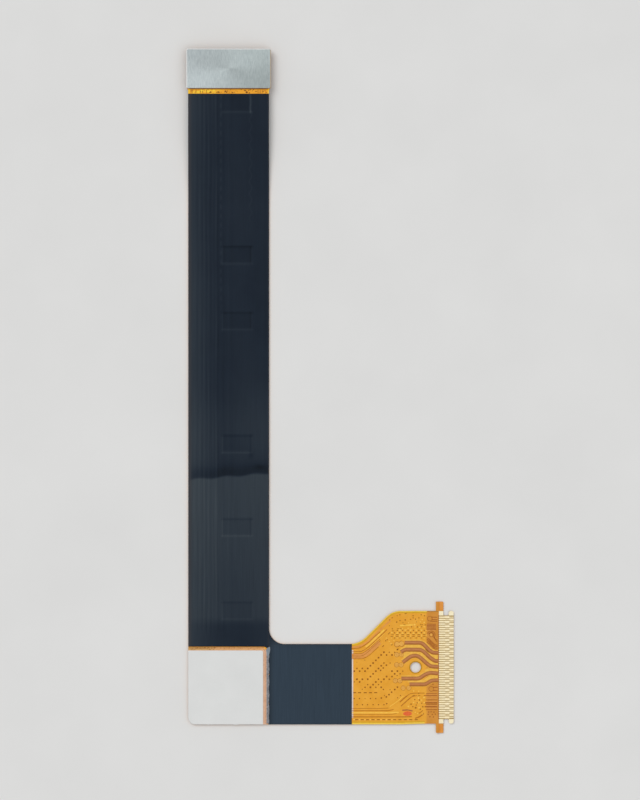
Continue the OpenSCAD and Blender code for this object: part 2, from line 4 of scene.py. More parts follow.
import bpy
import numpy as np
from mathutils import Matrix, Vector


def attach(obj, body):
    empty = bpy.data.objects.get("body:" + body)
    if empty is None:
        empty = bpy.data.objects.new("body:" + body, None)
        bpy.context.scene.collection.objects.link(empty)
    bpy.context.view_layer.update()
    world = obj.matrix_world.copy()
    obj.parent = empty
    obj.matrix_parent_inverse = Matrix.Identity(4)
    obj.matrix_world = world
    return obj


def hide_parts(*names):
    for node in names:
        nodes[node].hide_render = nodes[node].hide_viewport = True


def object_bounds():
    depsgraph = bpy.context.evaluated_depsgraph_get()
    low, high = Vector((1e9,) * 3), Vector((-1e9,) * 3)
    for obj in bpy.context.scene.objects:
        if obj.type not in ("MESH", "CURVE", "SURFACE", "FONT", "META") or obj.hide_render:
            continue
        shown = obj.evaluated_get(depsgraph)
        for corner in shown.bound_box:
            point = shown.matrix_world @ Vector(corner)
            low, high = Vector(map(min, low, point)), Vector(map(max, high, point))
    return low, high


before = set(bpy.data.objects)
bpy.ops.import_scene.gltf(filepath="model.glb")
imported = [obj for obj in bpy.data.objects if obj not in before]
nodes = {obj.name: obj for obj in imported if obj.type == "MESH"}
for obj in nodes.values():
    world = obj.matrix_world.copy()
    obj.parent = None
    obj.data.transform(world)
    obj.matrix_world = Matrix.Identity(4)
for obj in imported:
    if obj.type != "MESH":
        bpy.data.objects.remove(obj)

cad_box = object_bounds()
MM = 0.001

# ---------------------------------------------------------------- sizes, in millimetres
LEFT, RIGHT = -29.97, -19.32
BOTTOM, ARM_TOP = -7.53, 3.07
HALF = 7.43
HEAD_MID = 78.905
STRIP_MID = -24.645
COVER_TOP = 0.22
FILM_TOP = 0.24
LIFT = 0.78
FILM_HIGH = 75.59
RAMP_TOP, RAMP_LOW = 72.54, 60.54
SHIELD_END = -8.4
PAD_RIGHT, PAD_TOP = -19.65, 2.67
INNER_R = 2.05
FLAT = 0.0022          # how far a printed mark stands above its film
RAISED = COVER_TOP + 0.014     # the film over the tracks beneath it
WINDOWS = [74.29, 54.34, 45.64, 29.44, 18.44, 7.44]
WINDOW_X = -23.52
WINDOW_HALF_X, WINDOW_HALF_Y = 2.0, 1.15
BOND = 0.05            # thickness of the adhesive under the plate and under the liner
LINER_WIDE, LINER_HIGH = 9.87, 9.75
PLATE_HALF_X, PLATE_HALF_Y = 5.58, 2.615
HOLE_RADIUS = 0.7
MARK_FOOT = 0.002      # how far a mark's foot is sunk into its film


def rise(y):
    """Height of the laminate's underside above its resting level at Y = y."""
    u = np.clip((np.asarray(y, dtype=float) - RAMP_LOW) / (RAMP_TOP - RAMP_LOW), 0, 1)
    return LIFT * u * u * (3 - 2 * u)


def lin(c):
    """An 0-255 screen colour as linear light."""
    out = []
    for v in c[:3]:
        v /= 255
        out.append(v / 12.92 if v <= 0.04045 else ((v + 0.055) / 1.055) ** 2.4)
    return (*out, 1.0)


# ---------------------------------------------------------------- materials
class Nodes:
    """Short names for the nodes of one material."""

    def __init__(self, name):
        self.mat = bpy.data.materials.new(name)
        self.mat.use_nodes = True
        self.tree = self.mat.node_tree
        self.tree.nodes.clear()
        self.out = self.new("ShaderNodeOutputMaterial")
        self.bsdf = self.new("ShaderNodeBsdfPrincipled")
        self.join(self.bsdf.outputs[0], self.out.inputs[0])
        self.where = self.new("ShaderNodeTexCoord").outputs["Object"]

    def new(self, kind, **values):
        node = self.tree.nodes.new(kind)
        for key, value in values.items():
            setattr(node, key, value)
        return node

    def join(self, a, b):
        self.tree.links.new(a, b)

    def put(self, socket, value):
        if hasattr(value, "is_output"):
            self.join(value, socket)
        else:
            socket.default_value = value

    def scaled(self, sx, sy, sz, shift=(0, 0, 0)):
        """Object coordinates times a scale per axis, so 1000 reads as millimetres."""
        node = self.new("ShaderNodeMapping")
        node.inputs["Scale"].default_value = (sx, sy, sz)
        node.inputs["Location"].default_value = shift
        self.join(self.where, node.inputs["Vector"])
        return node.outputs[0]

    def noise(self, vector, scale=1.0, detail=4.0, rough=0.55, distort=0.0):
        node = self.new("ShaderNodeTexNoise")
        self.join(vector, node.inputs["Vector"])
        node.inputs["Scale"].default_value = scale
        node.inputs["Detail"].default_value = detail
        node.inputs["Roughness"].default_value = rough
        node.inputs["Distortion"].default_value = distort
        return node.outputs["Fac"]

    def voronoi(self, vector, scale=1.0):
        node = self.new("ShaderNodeTexVoronoi")
        self.join(vector, node.inputs["Vector"])
        node.inputs["Scale"].default_value = scale
        return node.outputs["Distance"]

    def ramp(self, value, stops, smooth=False):
        node = self.new("ShaderNodeValToRGB")
        node.color_ramp.interpolation = "EASE" if smooth else "LINEAR"
        bars = node.color_ramp.elements
        while len(bars) < len(stops):
            bars.new(0.5)
        for bar, (at, colour) in zip(bars, stops):
            bar.position = at
            bar.color = colour if len(colour) == 4 else (*colour, 1)
        self.join(value, node.inputs[0])
        return node.outputs[0]

    def grey(self, value, a, b, lo=0.3, hi=0.7):
        """A value between a and b as value goes from lo to hi."""
        node = self.new("ShaderNodeMapRange", clamp=True)
        for k, v in zip(("From Min", "From Max", "To Min", "To Max"), (lo, hi, a, b)):
            node.inputs[k].default_value = v
        self.join(value, node.inputs["Value"])
        return node.outputs[0]

    def maths(self, op, a, b=0.0):
        node = self.new("ShaderNodeMath", operation=op)
        self.put(node.inputs[0], a)
        self.put(node.inputs[1], b)
        return node.outputs[0]

    def mix(self, fac, a, b, blend="MIX"):
        node = self.new("ShaderNodeMix", data_type="RGBA", blend_type=blend)
        self.put(node.inputs[0], fac)
        self.put(node.inputs[6], a)
        self.put(node.inputs[7], b)
        return node.outputs[2]

    def axis(self, vector, which):
        node = self.new("ShaderNodeSeparateXYZ")
        self.join(vector, node.inputs[0])
        return node.outputs[which]

    def bump(self, height, strength=0.3, distance=0.01):
        node = self.new("ShaderNodeBump")
        node.inputs["Strength"].default_value = strength
        node.inputs["Distance"].default_value = distance * MM
        self.join(height, node.inputs["Height"])
        self.join(node.outputs[0], self.bsdf.inputs["Normal"])

    def done(self, colour, rough, metal=0.0, spec=0.5, coat=0.0, coat_rough=0.1, aniso=0.0):
        b = self.bsdf.inputs
        self.put(b["Base Color"], colour)
        self.put(b["Roughness"], rough)
        b["Metallic"].default_value = metal
        b["Specular IOR Level"].default_value = spec
        b["Coat Weight"].default_value = coat
        b["Coat Roughness"].default_value = coat_rough
        b["Anisotropic"].default_value = aniso
        return self.mat


def film_material(name, colour, spread=0.12, rough=(0.28, 0.4), spec=0.2, coat=0.04, fine=9.0):
    """Coloured film: broad cloudy shade, fine fibre-like grain and a slightly wavy gloss."""
    n = Nodes(name)
    mm = n.scaled(1000, 1000, 1000)
    cloud = n.noise(mm, 0.55, 3)
    grain = n.noise(mm, fine, 5, 0.65)
    c = lin(colour)
    dark = tuple(v * (1 - spread) for v in c[:3]) + (1,)
    light = tuple(min(1, v * (1 + spread)) for v in c[:3]) + (1,)
    tone = n.mix(n.grey(cloud, 0, 1), dark, light)
    tone = n.mix(n.grey(grain, 0, 0.35), tone, tuple(v * 0.8 for v in c[:3]) + (1,))
    n.bump(n.maths("ADD", cloud, n.maths("MULTIPLY", grain, 0.25)), 0.35, 0.012)
    return n.done(tone, n.grey(grain, *rough), spec=spec, coat=coat)


def metal_material(name, colour, rough=(0.25, 0.45), grain=(40, 40, 40), spread=0.12, bump=0.25):
    n = Nodes(name)
    mm = n.scaled(1000, 1000, 1000)
    fine = n.noise(n.scaled(*[g * 1000 for g in grain]), 1.0, 5, 0.6)
    patch = n.noise(mm, 1.3, 3)
    c = lin(colour)
    tone = n.mix(n.grey(patch, 0, 1), tuple(v * (1 - spread) for v in c[:3]) + (1,),
                 tuple(min(1, v * (1 + spread)) for v in c[:3]) + (1,))
    tone = n.mix(n.grey(fine, 0, 0.4), tone, tuple(v * 0.72 for v in c[:3]) + (1,))
    n.bump(fine, bump, 0.004)
    return n.done(tone, n.grey(fine, *rough), metal=1.0)


# ---------------------------------------------------------------- mesh helpers, in millimetres
class Build:
    """Points and faces of one piece."""

    def __init__(self):
        self.v, self.f = [], []

    def add(self, verts, faces):
        start = len(self.v)
        self.v += [tuple(map(float, p)) for p in verts]
        self.f += [tuple(i + start for i in face) for face in faces]

    def rings(self, rings, closed_bottom=False):
        """Joins rings of equal length, and closes the last one."""
        n = len(rings[0])
        verts = [p for ring in rings for p in ring]
        faces = []
        for r in range(len(rings) - 1):
            for i in range(n):
                j = (i + 1) % n
                faces.append((r * n + i, r * n + j, (r + 1) * n + j, (r + 1) * n + i))
        faces.append(tuple((len(rings) - 1) * n + i for i in range(n)))
        if closed_bottom:
            faces.append(tuple(reversed(range(n))))
        self.add(verts, faces)

    def ribbon(self, points, width, z0, z1, bevel=0.03):
        """A low bank along a line of points, with sloped sides."""
        pts = [np.array(p, dtype=float) for p in points]
        rows = []
        for i, p in enumerate(pts):
            a = pts[i] - pts[i - 1] if i else pts[1] - pts[0]
            b = pts[i + 1] - pts[i] if i < len(pts) - 1 else a
            a, b = a / np.linalg.norm(a), b / np.linalg.norm(b)
            m = a + b
            m = m / max(np.linalg.norm(m), 1e-6)
            side = np.array([-m[1], m[0]]) / max(0.5, float(m @ a))
            rows.append([(*(p + side * w), z) for w, z in (
                (-width / 2, z0), (-width / 2 + bevel, z1), (width / 2 - bevel, z1), (width / 2, z0))])
        verts = [q for row in rows for q in row]
        faces = []
        for r in range(len(rows) - 1):
            for k in range(3):
                faces.append((4 * r + k, 4 * r + 4 + k, 4 * r + 5 + k, 4 * r + 1 + k))
        last = 4 * (len(rows) - 1)
        faces += [(0, 1, 2, 3), (last + 3, last + 2, last + 1, last)]
        self.add(verts, faces)

    def dot(self, x, y, size, z0, z1, sides=4, turn=45.0, stretch=(1, 1), top=0.6):
        rings = []
        for share, z in ((1, z0), (top, z1)):
            rings.append([(x + stretch[0] * share * size * math.cos(math.radians(turn + 360 * k / sides)),
                           y + stretch[1] * share * size * math.sin(math.radians(turn + 360 * k / sides)),
                           z)
                          for k in range(sides)])
        self.rings(rings)

    def ring(self, x, y, outer, inner, z0, z1, sides=20):
        """A raised ring with an open middle."""
        profile = ((outer, z0), (outer - 0.03, z1), (inner + 0.02, z1), (inner, z0))
        verts, faces = [], []
        for k in range(sides):
            a = 2 * math.pi * k / sides
            verts += [(x + r * math.cos(a), y + r * math.sin(a), z) for r, z in profile]
        for k in range(sides):
            j = (k + 1) % sides
            for m in range(3):
                faces.append((4 * k + m, 4 * j + m, 4 * j + m + 1, 4 * k + m + 1))
        self.add(verts, faces)


def soften(points, radius, steps=5):
    """The same line with its corners rounded."""
    pts = [np.array(p, dtype=float) for p in points]
    out = [pts[0]]
    for i in range(1, len(pts) - 1):
        a, b = pts[i - 1] - pts[i], pts[i + 1] - pts[i]
        r = min(radius, np.linalg.norm(a) * 0.45, np.linalg.norm(b) * 0.45)
        p0, p1 = pts[i] + a / np.linalg.norm(a) * r, pts[i] + b / np.linalg.norm(b) * r
        for k in range(steps + 1):
            t = k / steps
            out.append(p0 * (1 - t) ** 2 + pts[i] * 2 * t * (1 - t) + p1 * t * t)
    return out + [pts[-1]]


def outline(corners, steps=8):
    """A closed outline from corners given as (x, y, radius), anticlockwise."""
    out = []
    n = len(corners)
    for i, (x, y, r) in enumerate(corners):
        p = np.array([x, y])
        if r <= 0:
            out.append(tuple(p))
            continue
        a = np.array(corners[i - 1][:2]) - p
        b = np.array(corners[(i + 1) % n][:2]) - p
        a, b = a / np.linalg.norm(a), b / np.linalg.norm(b)
        half = math.acos(max(-1, min(1, float(a @ b)))) / 2
        m = (a + b) / np.linalg.norm(a + b)
        centre = p + m * r / math.sin(half)
        start = p + a * r / math.tan(half) - centre
        turn = math.pi - 2 * half
        sign = 1 if a[0] * b[1] - a[1] * b[0] < 0 else -1
        for k in range(steps + 1):
            t = sign * turn * k / steps
            out.append(tuple(centre + np.array([
                start[0] * math.cos(t) - start[1] * math.sin(t),
                start[0] * math.sin(t) + start[1] * math.cos(t)])))
    return out


def shrink(loop, d):
    """A closed anticlockwise outline moved inwards by d."""
    pts = np.array(loop)
    ahead, behind = np.roll(pts, -1, 0) - pts, pts - np.roll(pts, 1, 0)
    ahead /= np.linalg.norm(ahead, axis=1)[:, None]
    behind /= np.linalg.norm(behind, axis=1)[:, None]
    normal = np.stack([-(ahead + behind)[:, 1], (ahead + behind)[:, 0]], 1)
    normal /= 1 + (ahead * behind).sum(1)[:, None]
    return pts + normal * d


def make(name, build, material, slot, *replaced, smooth=False):
    mesh = bpy.data.meshes.new(name)
    mesh.from_pydata([tuple(c * MM for c in p) for p in build.v], [], build.f)
    mesh.materials.append(material)
    mesh.validate()
    for poly in mesh.polygons:
        poly.use_smooth = smooth
    mesh.update()
    obj = bpy.data.objects.new(name, mesh)
    bpy.context.collection.objects.link(obj)
    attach(obj, "root")
    if replaced:
        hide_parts(*replaced)
    return obj


def pressed(name, loop, levels, material, slot, *replaced):
    """A sheet piece from one outline, with (inset, z) levels from its foot to its top."""
    b = Build()
    b.rings([[(x, y, z) for x, y in shrink(loop, d)] for d, z in levels], closed_bottom=True)
    return make(name, b, material, slot, *replaced)


# ---------------------------------------------------------------- the dark shield film
GLOSS = 0.0065         # light that the film's gloss adds to its own colour
STREAKS = [(-29.1, 3, 0.2), (-28.75, -3, 0.12), (-28.45, 4, 0.12), (-28.1, -5, 0.12), (-27.88, 6, 0.1),
           (-27.55, -4, 0.12), (-27.3, 5, 0.1), (-27.0, -4, 0.1), (-26.75, 3, 0.1), (-26.3, 8, 0.11),
           (-26.05, -4, 0.12), (-25.3, -3, 0.15), (-24.7, 2.5, 0.12), (-24.2, -2, 0.2), (-20.2, 2, 0.3)]


def bell(value, middle, width):
    return np.exp(-(((value - middle) / width) ** 2))


def ramp_up(value, lo, hi):
    t = np.clip((value - lo) / (hi - lo), 0, 1)
    return t * t * (3 - 2 * t)


def film_shape(x, y):
    """Relief of the film in millimetres, its shade from 0 to 255 with painted shade and painted light in
    it, the painted highlight along its edges and how much it belongs to the arm, at arrays x and y."""
    z = np.zeros_like(x)
    strip = (x < RIGHT + 0.01) & (y > PAD_TOP)
    across = (x - LEFT) / (RIGHT - LEFT)
    shade = 40.5 + 13 * (1 - ramp_up(across, 0.0, 0.42)) + 1.2 * np.sin(x * 0.9 + y * 0.07)
    shade += 1.6 * np.sin(y * 0.21 + 1.0) * np.sin(x * 0.35 + y * 0.05)
    # along the strip: painted shade of the fold, darker towards the crease, and painted light below it;
    # dark again at the corner pad
    crease = 24.85 + (x - LEFT) * 0.082 + 0.1 * np.sin(x * 1.7)
    above = y - crease
    low = ramp_up(-above, -0.05, 0.3)
    shade += (1 - low) * (9 * bell(above, 5.5, 5.5) - 11 * bell(above, 0.4, 1.0))
    shade += low * (22.5 - 0.5 * np.clip(-above, 0, 14) - 4.5 * (1 - ramp_up(across, 0.0, 0.42)))
    shade -= 13 * ramp_up(-y, -6.9, -5.2) * (1 - 0.35 * bell(x, -29.4, 1.6))
    shade += 2.5 * bell(y, 74.5, 1.6) * (1 - across)
    # painted highlight along the film's left and right edges
    edge_highlight = strip * (bell(x, LEFT + 0.12, 0.3) + 0.55 * bell(x, RIGHT - 0.05, 0.1))
    z += 0.006 * bell(above, 0.2, 0.5) - 0.008 * bell(above, 0.9, 0.5)
    # the arm is an even slate, a little lighter
    arm = ramp_up(x, -19.8, -18.6) * ramp_up(-y, -4.3, -2.4)
    even = 68 + 0.6 * np.sin(x * 0.7) * np.sin(y * 0.6 + 1) + 3.0 * ramp_up(y, 2.7, 3.0)
    shade = shade * (1 - arm) + arm * even
    # long marks of the tracks beneath
    run = strip * ramp_up(y, PAD_TOP + 1.0, 6.0)
    for at, lift, width in STREAKS:
        line = bell(x, at + 0.03 * np.sin(y * 0.33 + at), width)
        shade += run * lift * line * (0.7 + 0.3 * np.sin(y * 0.4 + at * 3))
        z += run * 0.002 * lift * line
    dotted = bell(x, -25.66, 0.11) * ramp_up(y, 45, 50)
    shade += run * 4.5 * dotted * np.sin(y * 5.2) + run * 3 * dotted
    wiggle = bell(x, -21.75 + 0.16 * np.sin(y * 3.9), 0.1) * ramp_up(y, 55, 62)
    shade += run * 5.0 * wiggle
    # the pressed ground windows, with painted light and painted shade along their edges and a little darker
    # inside
    for k, wy in enumerate(WINDOWS):
        dx, dy = WINDOW_HALF_X - np.abs(x - WINDOW_X), WINDOW_HALF_Y - np.abs(y - wy)
        inside = np.minimum(dx, dy)
        strength = (0.9, 1.2, 0.9, 1.2, 1.2, 0.8)[k]
        z -= strip * 0.042 * ramp_up(inside, -0.02, 0.22)
        near_x, near_y = ramp_up(dx, -0.3, 0.1), ramp_up(dy, -0.3, 0.1)
        left = bell(x - WINDOW_X, -1.95, 0.11) * near_y
        right = bell(x - WINDOW_X, 1.75, 0.1) * near_y
        top = bell(y - wy, 1.12, 0.13) * near_x
        foot = bell(y - wy, -1.12, 0.13) * near_x
        # painted light (above zero) and painted shade (below zero) on the left, right, top and foot edges
        lights = (0.2, 3.4, 0.0, 1.2) if k == 0 else (0.9, -0.7, -1.1, 0.9)
        for part, light in zip((left, right, top, foot), lights):
            shade += strip * strength * 7.5 * light * part
        shade -= strip * strength * 2.2 * ramp_up(inside, 0, 0.3)
    # marks beside the crease
    shade -= 9 * bell(x, -21.7, 0.35) * bell(above, 2.4, 0.45)
    shade -= 10 * bell(x, -20.5, 0.7) * bell(above, 0.75, 0.3)
    shade += 5 * bell(x, -26.3, 0.2) * bell(above, -3.5, 3.0)
    # slow waves of a hand-laid film
    z += 0.004 * np.sin(y * 0.8 + x * 0.3) * np.sin(x * 0.6 + 0.5)
    return z, film_tint(np.clip(shade, 20, 90), np.clip(edge_highlight, 0, 1), arm)


def film_tint(shade, edge_highlight, arm):
    """The colour of the film, as linear light, from its shade, its painted edge highlight and arm share."""
    warm = np.clip(shade - 40, 0, 40)
    strip = [0.8 * shade + 0.2 * warm, shade, 1.28 * shade - 0.42 * warm]
    slate = [0.81 * shade, shade, 1.19 * shade]
    # the pale grey of the painted edge highlight
    tan = [66.0, 65.0, 68.0]
    out = []
    for a, b, c in zip(strip, slate, tan):
        v = (a * (1 - arm) + b * arm) * (1 - 0.85 * edge_highlight) + c * 0.85 * edge_highlight
        v = np.clip(v, 0, 255) / 255
        out.append(np.where(v <= 0.04045, v / 12.92, ((v + 0.055) / 1.055) ** 2.4) - GLOSS)
    return np.clip(np.stack(out, -1), 0.002, 1)


def film_patch(build, marks, px, py):
    """Adds a grid of film points; px and py are two arrays of the same shape."""
    z, tint = film_shape(px, py)
    height = FILM_TOP + rise(py) + z
    rows, cols = px.shape
    flat = [(a, b, c) for a, b, c in zip(px.ravel(), py.ravel(), height.ravel())]
    faces = []
    for r in range(rows - 1):
        for c in range(cols - 1):
            k = r * cols + c
            faces.append((k, k + 1, k + cols + 1, k + cols))
    build.add(flat, faces)
    marks.append(tint.reshape(-1, 3))


def film_colour(name):
    n = Nodes(name)
    # paint: the film's per-point colour, which holds its painted shade and painted light
    paint = n.new("ShaderNodeAttribute", attribute_name="shade").outputs["Color"]
    mm = n.scaled(1000, 1000, 1000)
    drawn = n.noise(n.scaled(9000, 220, 1000), 1.0, 4, 0.6)
    grain = n.noise(mm, 14, 5, 0.7)
    cloud = n.noise(mm, 0.35, 4, 0.55)
    flecks = n.voronoi(mm, 5.0)
    tone = n.mix(n.grey(drawn, 0, 0.22), paint, (0.004, 0.007, 0.011, 1))
    tone = n.mix(n.grey(cloud, 0, 0.06), tone, (0.03, 0.05, 0.07, 1))
    tone = n.mix(n.grey(grain, 0, 0.02), tone, (0.16, 0.18, 0.2, 1))
    n.bump(n.maths("ADD", grain, n.maths("MULTIPLY", flecks, 0.5)), 0.2, 0.004)
    return n.done(tone, n.grey(grain, 0.42, 0.58), spec=0.08)


def shield_film():
    import bmesh
    b, marks = Build(), []
    xs = np.linspace(LEFT, RIGHT, 108)
    ys = np.linspace(PAD_TOP + 0.05, FILM_HIGH, 400)
    film_patch(b, marks, *np.meshgrid(xs, ys))
    xs = np.linspace(PAD_RIGHT + 0.25, SHIELD_END, 74)
    ys = np.linspace(BOTTOM, ARM_TOP, 66)
    px, py = np.meshgrid(xs, ys)
    # the edge beside the pad is torn a little
    torn = ramp_up(-px, 19.3, 19.4) * (0.05 * np.sin(py * 5.1) + 0.04 * np.sin(py * 13 + 1) + 0.02)
    film_patch(b, marks, px + torn, py)
    # the sheet round the inner corner
    t = np.linspace(0, math.pi / 2, 19)
    arc = np.stack([RIGHT + INNER_R - INNER_R * np.cos(t), ARM_TOP + INNER_R - INNER_R * np.sin(t)], 1)
    edge = np.array([[RIGHT, ARM_TOP + INNER_R * (1 - min(1, k / 9))] if k <= 9
                     else [RIGHT + INNER_R * (k - 9) / 9, ARM_TOP] for k in range(19)])
    share = np.linspace(0, 1, 8)[:, None]
    film_patch(b, marks, (edge[:, 0] * (1 - share) + arc[:, 0] * share).T,
               (edge[:, 1] * (1 - share) + arc[:, 1] * share).T)
    # and round the pad's corner
    px, py, r = RIGHT - 0.08, PAD_TOP + 0.05, 0.7
    arc = np.stack([px - r + r * np.sin(t), py - r + r * np.cos(t)], 1)
    edge = np.array([[px - r * (1 - k / 9), py] if k <= 9 else [px,
            py - r * (k - 9) / 9] for k in range(19)])
    film_patch(b, marks, (edge[:, 0] * (1 - share) + arc[:, 0] * share).T,
               (edge[:, 1] * (1 - share) + arc[:, 1] * share).T)
    obj = make("shield_film_sheet", b, film_colour("dark_shield_film"), "shield_film",
               "front_shield_film", smooth=True)
    mesh = obj.data
    layer = mesh.color_attributes.new("shade", "FLOAT_COLOR", "POINT")
    tints = np.concatenate(marks)
    colours = np.ones((len(tints), 4), dtype=np.float32)
    colours[:, :3] = tints
    layer.data.foreach_set("color", colours.ravel())
    bm = bmesh.new()
    bm.from_mesh(mesh)
    border = [e for e in bm.edges if e.is_boundary]
    skirt = bmesh.ops.extrude_edge_only(bm, edges=border)["geom"]
    for v in skirt:
        if isinstance(v, bmesh.types.BMVert):
            v.co.z -= 0.019 * MM
    bm.to_mesh(mesh)
    bm.free()
    for poly in mesh.polygons:
        poly.use_smooth = True
    return obj


shield_film()


# ---------------------------------------------------------------- the head and the corner pad
def steel():
    n = Nodes("brushed_plate")
    mm = n.scaled(1000, 1000, 1000)
    x, y = n.axis(mm, 0), n.axis(mm, 1)
    lines = n.noise(n.scaled(13000, 1500, 3000), 1.0, 6, 0.7)
    fine = n.noise(n.scaled(26000, 5200, 9000), 1.0, 4, 0.7)
    patch = n.noise(mm, 0.5, 3)
    tone = n.ramp(lines, [(0.3, lin((158, 167, 169))), (0.5, lin((181, 190, 191))),
                          (0.7, lin((200, 207, 207)))])
    tone = n.mix(n.grey(fine, 0, 0.3), tone, lin((148, 156, 162)))
    tone = n.mix(n.grey(patch, 0, 0.12), tone, lin((196, 208, 212)))
    tone = n.mix(n.grey(x, 0, 1, -29.5, -20.0), tone, n.mix(1.0, tone, lin((236, 238, 236)), "MULTIPLY"))
    # painted highlight along the plate's left and top edges, where the bevel catches the light
    rim = n.maths("MAXIMUM", n.grey(x, 1, 0, -30.16, -30.02), n.grey(y, 0, 1, 81.36, 81.46))
    tone = n.mix(n.maths("MULTIPLY", rim, 0.7), tone, lin((226, 224, 222)))
    tone = n.mix(n.grey(x, 0, 0.8, -19.15, -19.1), tone, lin((206, 158, 88)))
    n.bump(n.maths("ADD", lines, fine), 0.35, 0.005)
    return n.done(tone, n.grey(fine, 0.34, 0.5), metal=0.85, aniso=0.3)


def head_corners(margin, r):
    hw, hd = PLATE_HALF_X - margin, PLATE_HALF_Y - margin
    return [(STRIP_MID - hw, HEAD_MID - hd, 0.12), (STRIP_MID + hw, HEAD_MID - hd, 0.12),
            (STRIP_MID + hw, HEAD_MID + hd, r), (STRIP_MID - hw, HEAD_MID + hd, r)]


z = LIFT + COVER_TOP + BOND
pressed("pressed_plate", outline(head_corners(0.0, 0.32)),
        [(0, z), (0, z + 0.15), (0.015, z + 0.18), (0.035, z + 0.194), (0.06, z + 0.2)],
        steel(), "steel", "head_plate")

paper = Nodes("liner_paper")
mm = paper.scaled(1000, 1000, 1000)
fibre = paper.noise(mm, 7, 6, 0.7)
cloud = paper.noise(mm, 0.35, 3)
tone = paper.mix(paper.grey(cloud, 0, 1), lin((219, 220, 219)), lin((223, 224, 223)))
tone = paper.mix(paper.grey(fibre, 0, 0.2), tone, lin((208, 211, 210)))
paper.bump(fibre, 0.25, 0.004)
paper = paper.done(tone, paper.grey(fibre, 0.4, 0.58), spec=0.3)
z = COVER_TOP + BOND
x0, y0 = LEFT, BOTTOM
x1, y1 = x0 + LINER_WIDE, y0 + LINER_HIGH
pressed("liner_sheet", outline([(x0, y0, 0.95), (x1, y0, 0.06), (x1, y1, 0.25), (x0, y1, 0.08)]),
        [(0.0, z), (0.0, z + 0.05), (0.02, z + 0.072), (0.06, z + 0.08)],
        paper, "liner", "release_liner")
bits = Build()
for bx, w in ((-27.3, 0.3), (-23.7, 0.72), (-26.9, 0.14)):
    bits.rings([[(bx - w / 2, y0 + 0.06, zz), (bx - w / 2 + 0.05, y0 - 0.05, zz),
                 (bx + w / 2 - 0.05, y0 - 0.05, zz),
                 (bx + w / 2, y0 + 0.06, zz)] for zz in (z, z + 0.03)], closed_bottom=True)
make("liner_edge_burrs", bits, paper, "liner")

# the torn edge of the arm's film beside the pad, with its folded corner
torn = Nodes("torn_film_edge")
mm = torn.scaled(1000, 1000, 1000)
ruff = torn.noise(mm, 5, 5, 0.7)
tone = torn.ramp(ruff, [(0.35, lin((100, 101, 106))), (0.5, lin((128, 128, 133))),
                        (0.68, lin((156, 155, 158)))])
torn.bump(ruff, 0.5, 0.01)
torn = torn.done(tone, 0.55, spec=0.25)
b = Build()
rng = random.Random(4)
steps = 90
top, foot = 2.15, BOTTOM + 0.1
verts, faces = [], []
for k in range(steps + 1):
    y = top + (foot - top) * k / steps
    edge = PAD_RIGHT + 0.31 + 0.05 * rng.random() + 0.03 * math.sin(k * 0.37)
    verts += [(PAD_RIGHT - 0.015, y, COVER_TOP + BOND), (PAD_RIGHT + 0.01, y, COVER_TOP + 0.052),
              (edge - 0.05, y, FILM_TOP + 0.012), (edge, y, FILM_TOP + 0.003)]
for k in range(steps):
    for m in range(3):
        faces.append((4 * k + m, 4 * k + 4 + m, 4 * k + 5 + m, 4 * k + m + 1))
b.add(verts, faces)
make("torn_film_edge", b, torn, "shield_film")
flap = [(-19.72, 2.3), (-19.56, 2.56), (-19.2, 2.7), (-19.17, 2.3), (-19.24, 1.95), (-19.36, 1.5),
        (-19.62, 1.55)]
b = Build()
b.rings([[(x, y, COVER_TOP + h) for x, y in flap[::-1]] for h in (0.05, 0.056)])
make("folded_film_corner", b, film_material("folded_film", (128, 138, 147), 0.16, (0.4, 0.55), spec=0.3,
                                            fine=7), "shield_film")


def pad_tone():
    """The pad's adhesive: amber and orange above the liner, pinkish beside it."""
    n = Nodes("tan_adhesive")
    mm = n.scaled(1000, 1000, 1000)
    x, y = n.axis(mm, 0), n.axis(mm, 1)
    cloud = n.noise(mm, 2.2, 4)
    grain = n.noise(mm, 9, 5, 0.7)
    side = n.mix(n.grey(cloud, 0, 1), lin((212, 168, 138)), lin((230, 190, 162)))
    amber = n.mix(n.grey(cloud, 0, 1), lin((190, 148, 74)), lin((214, 172, 100)))
    orange = n.mix(n.grey(cloud, 0, 1), lin((218, 162, 98)), lin((236, 182, 118)))
    over = n.mix(n.grey(x, 0, 1, -27.2, -26.2), amber, orange)
    tone = n.mix(n.grey(y, 0, 1, 2.24, 2.34), side, over)
    tone = n.mix(n.grey(grain, 0, 0.25), tone, lin((176, 124, 84)))
    n.bump(n.maths("ADD", cloud, n.maths("MULTIPLY", grain, 0.3)), 0.3, 0.008)
    return n.done(tone, n.grey(grain, 0.4, 0.55), spec=0.25)


def under_film(name, low, high, scale=3.0, bump=0.2):
    """A mark or track seen in the amber film."""
    n = Nodes(name)
    mm = n.scaled(1000, 1000, 1000)
    patch = n.noise(mm, scale, 4)
    fine = n.noise(mm, 18, 4, 0.7)
    tone = n.mix(n.grey(patch, 0, 1), lin(low), lin(high))
    tone = n.mix(n.grey(fine, 0, 0.2), tone, lin([v * 0.84 for v in low]))
    n.bump(n.maths("ADD", patch, n.maths("MULTIPLY", fine, 0.4)), bump, 0.005)
    return n.done(tone, n.grey(fine, 0.3, 0.42), spec=0.12)


def strokes(build, level, lines, radius=0.3):
    """Flat lines, given as (width, points); level is their height above the raised film."""
    for width, points in lines:
        line = soften(points, radius) if len(points) > 2 else points
        build.ribbon(line, width, COVER_TOP - MARK_FOOT, RAISED + level, min(0.03, width * 0.2))


def spots(build, level, size, places, sides=4, turn=45.0, stretch=(1, 1), top=0.82):
    """Flat spots at (x, y) or (x, y, size) places."""
    for place in places:
        x, y = place[:2]
        r = place[2] if len(place) > 2 else size
        build.dot(x, y, r, COVER_TOP - MARK_FOOT, RAISED + level, sides, turn, stretch, top)


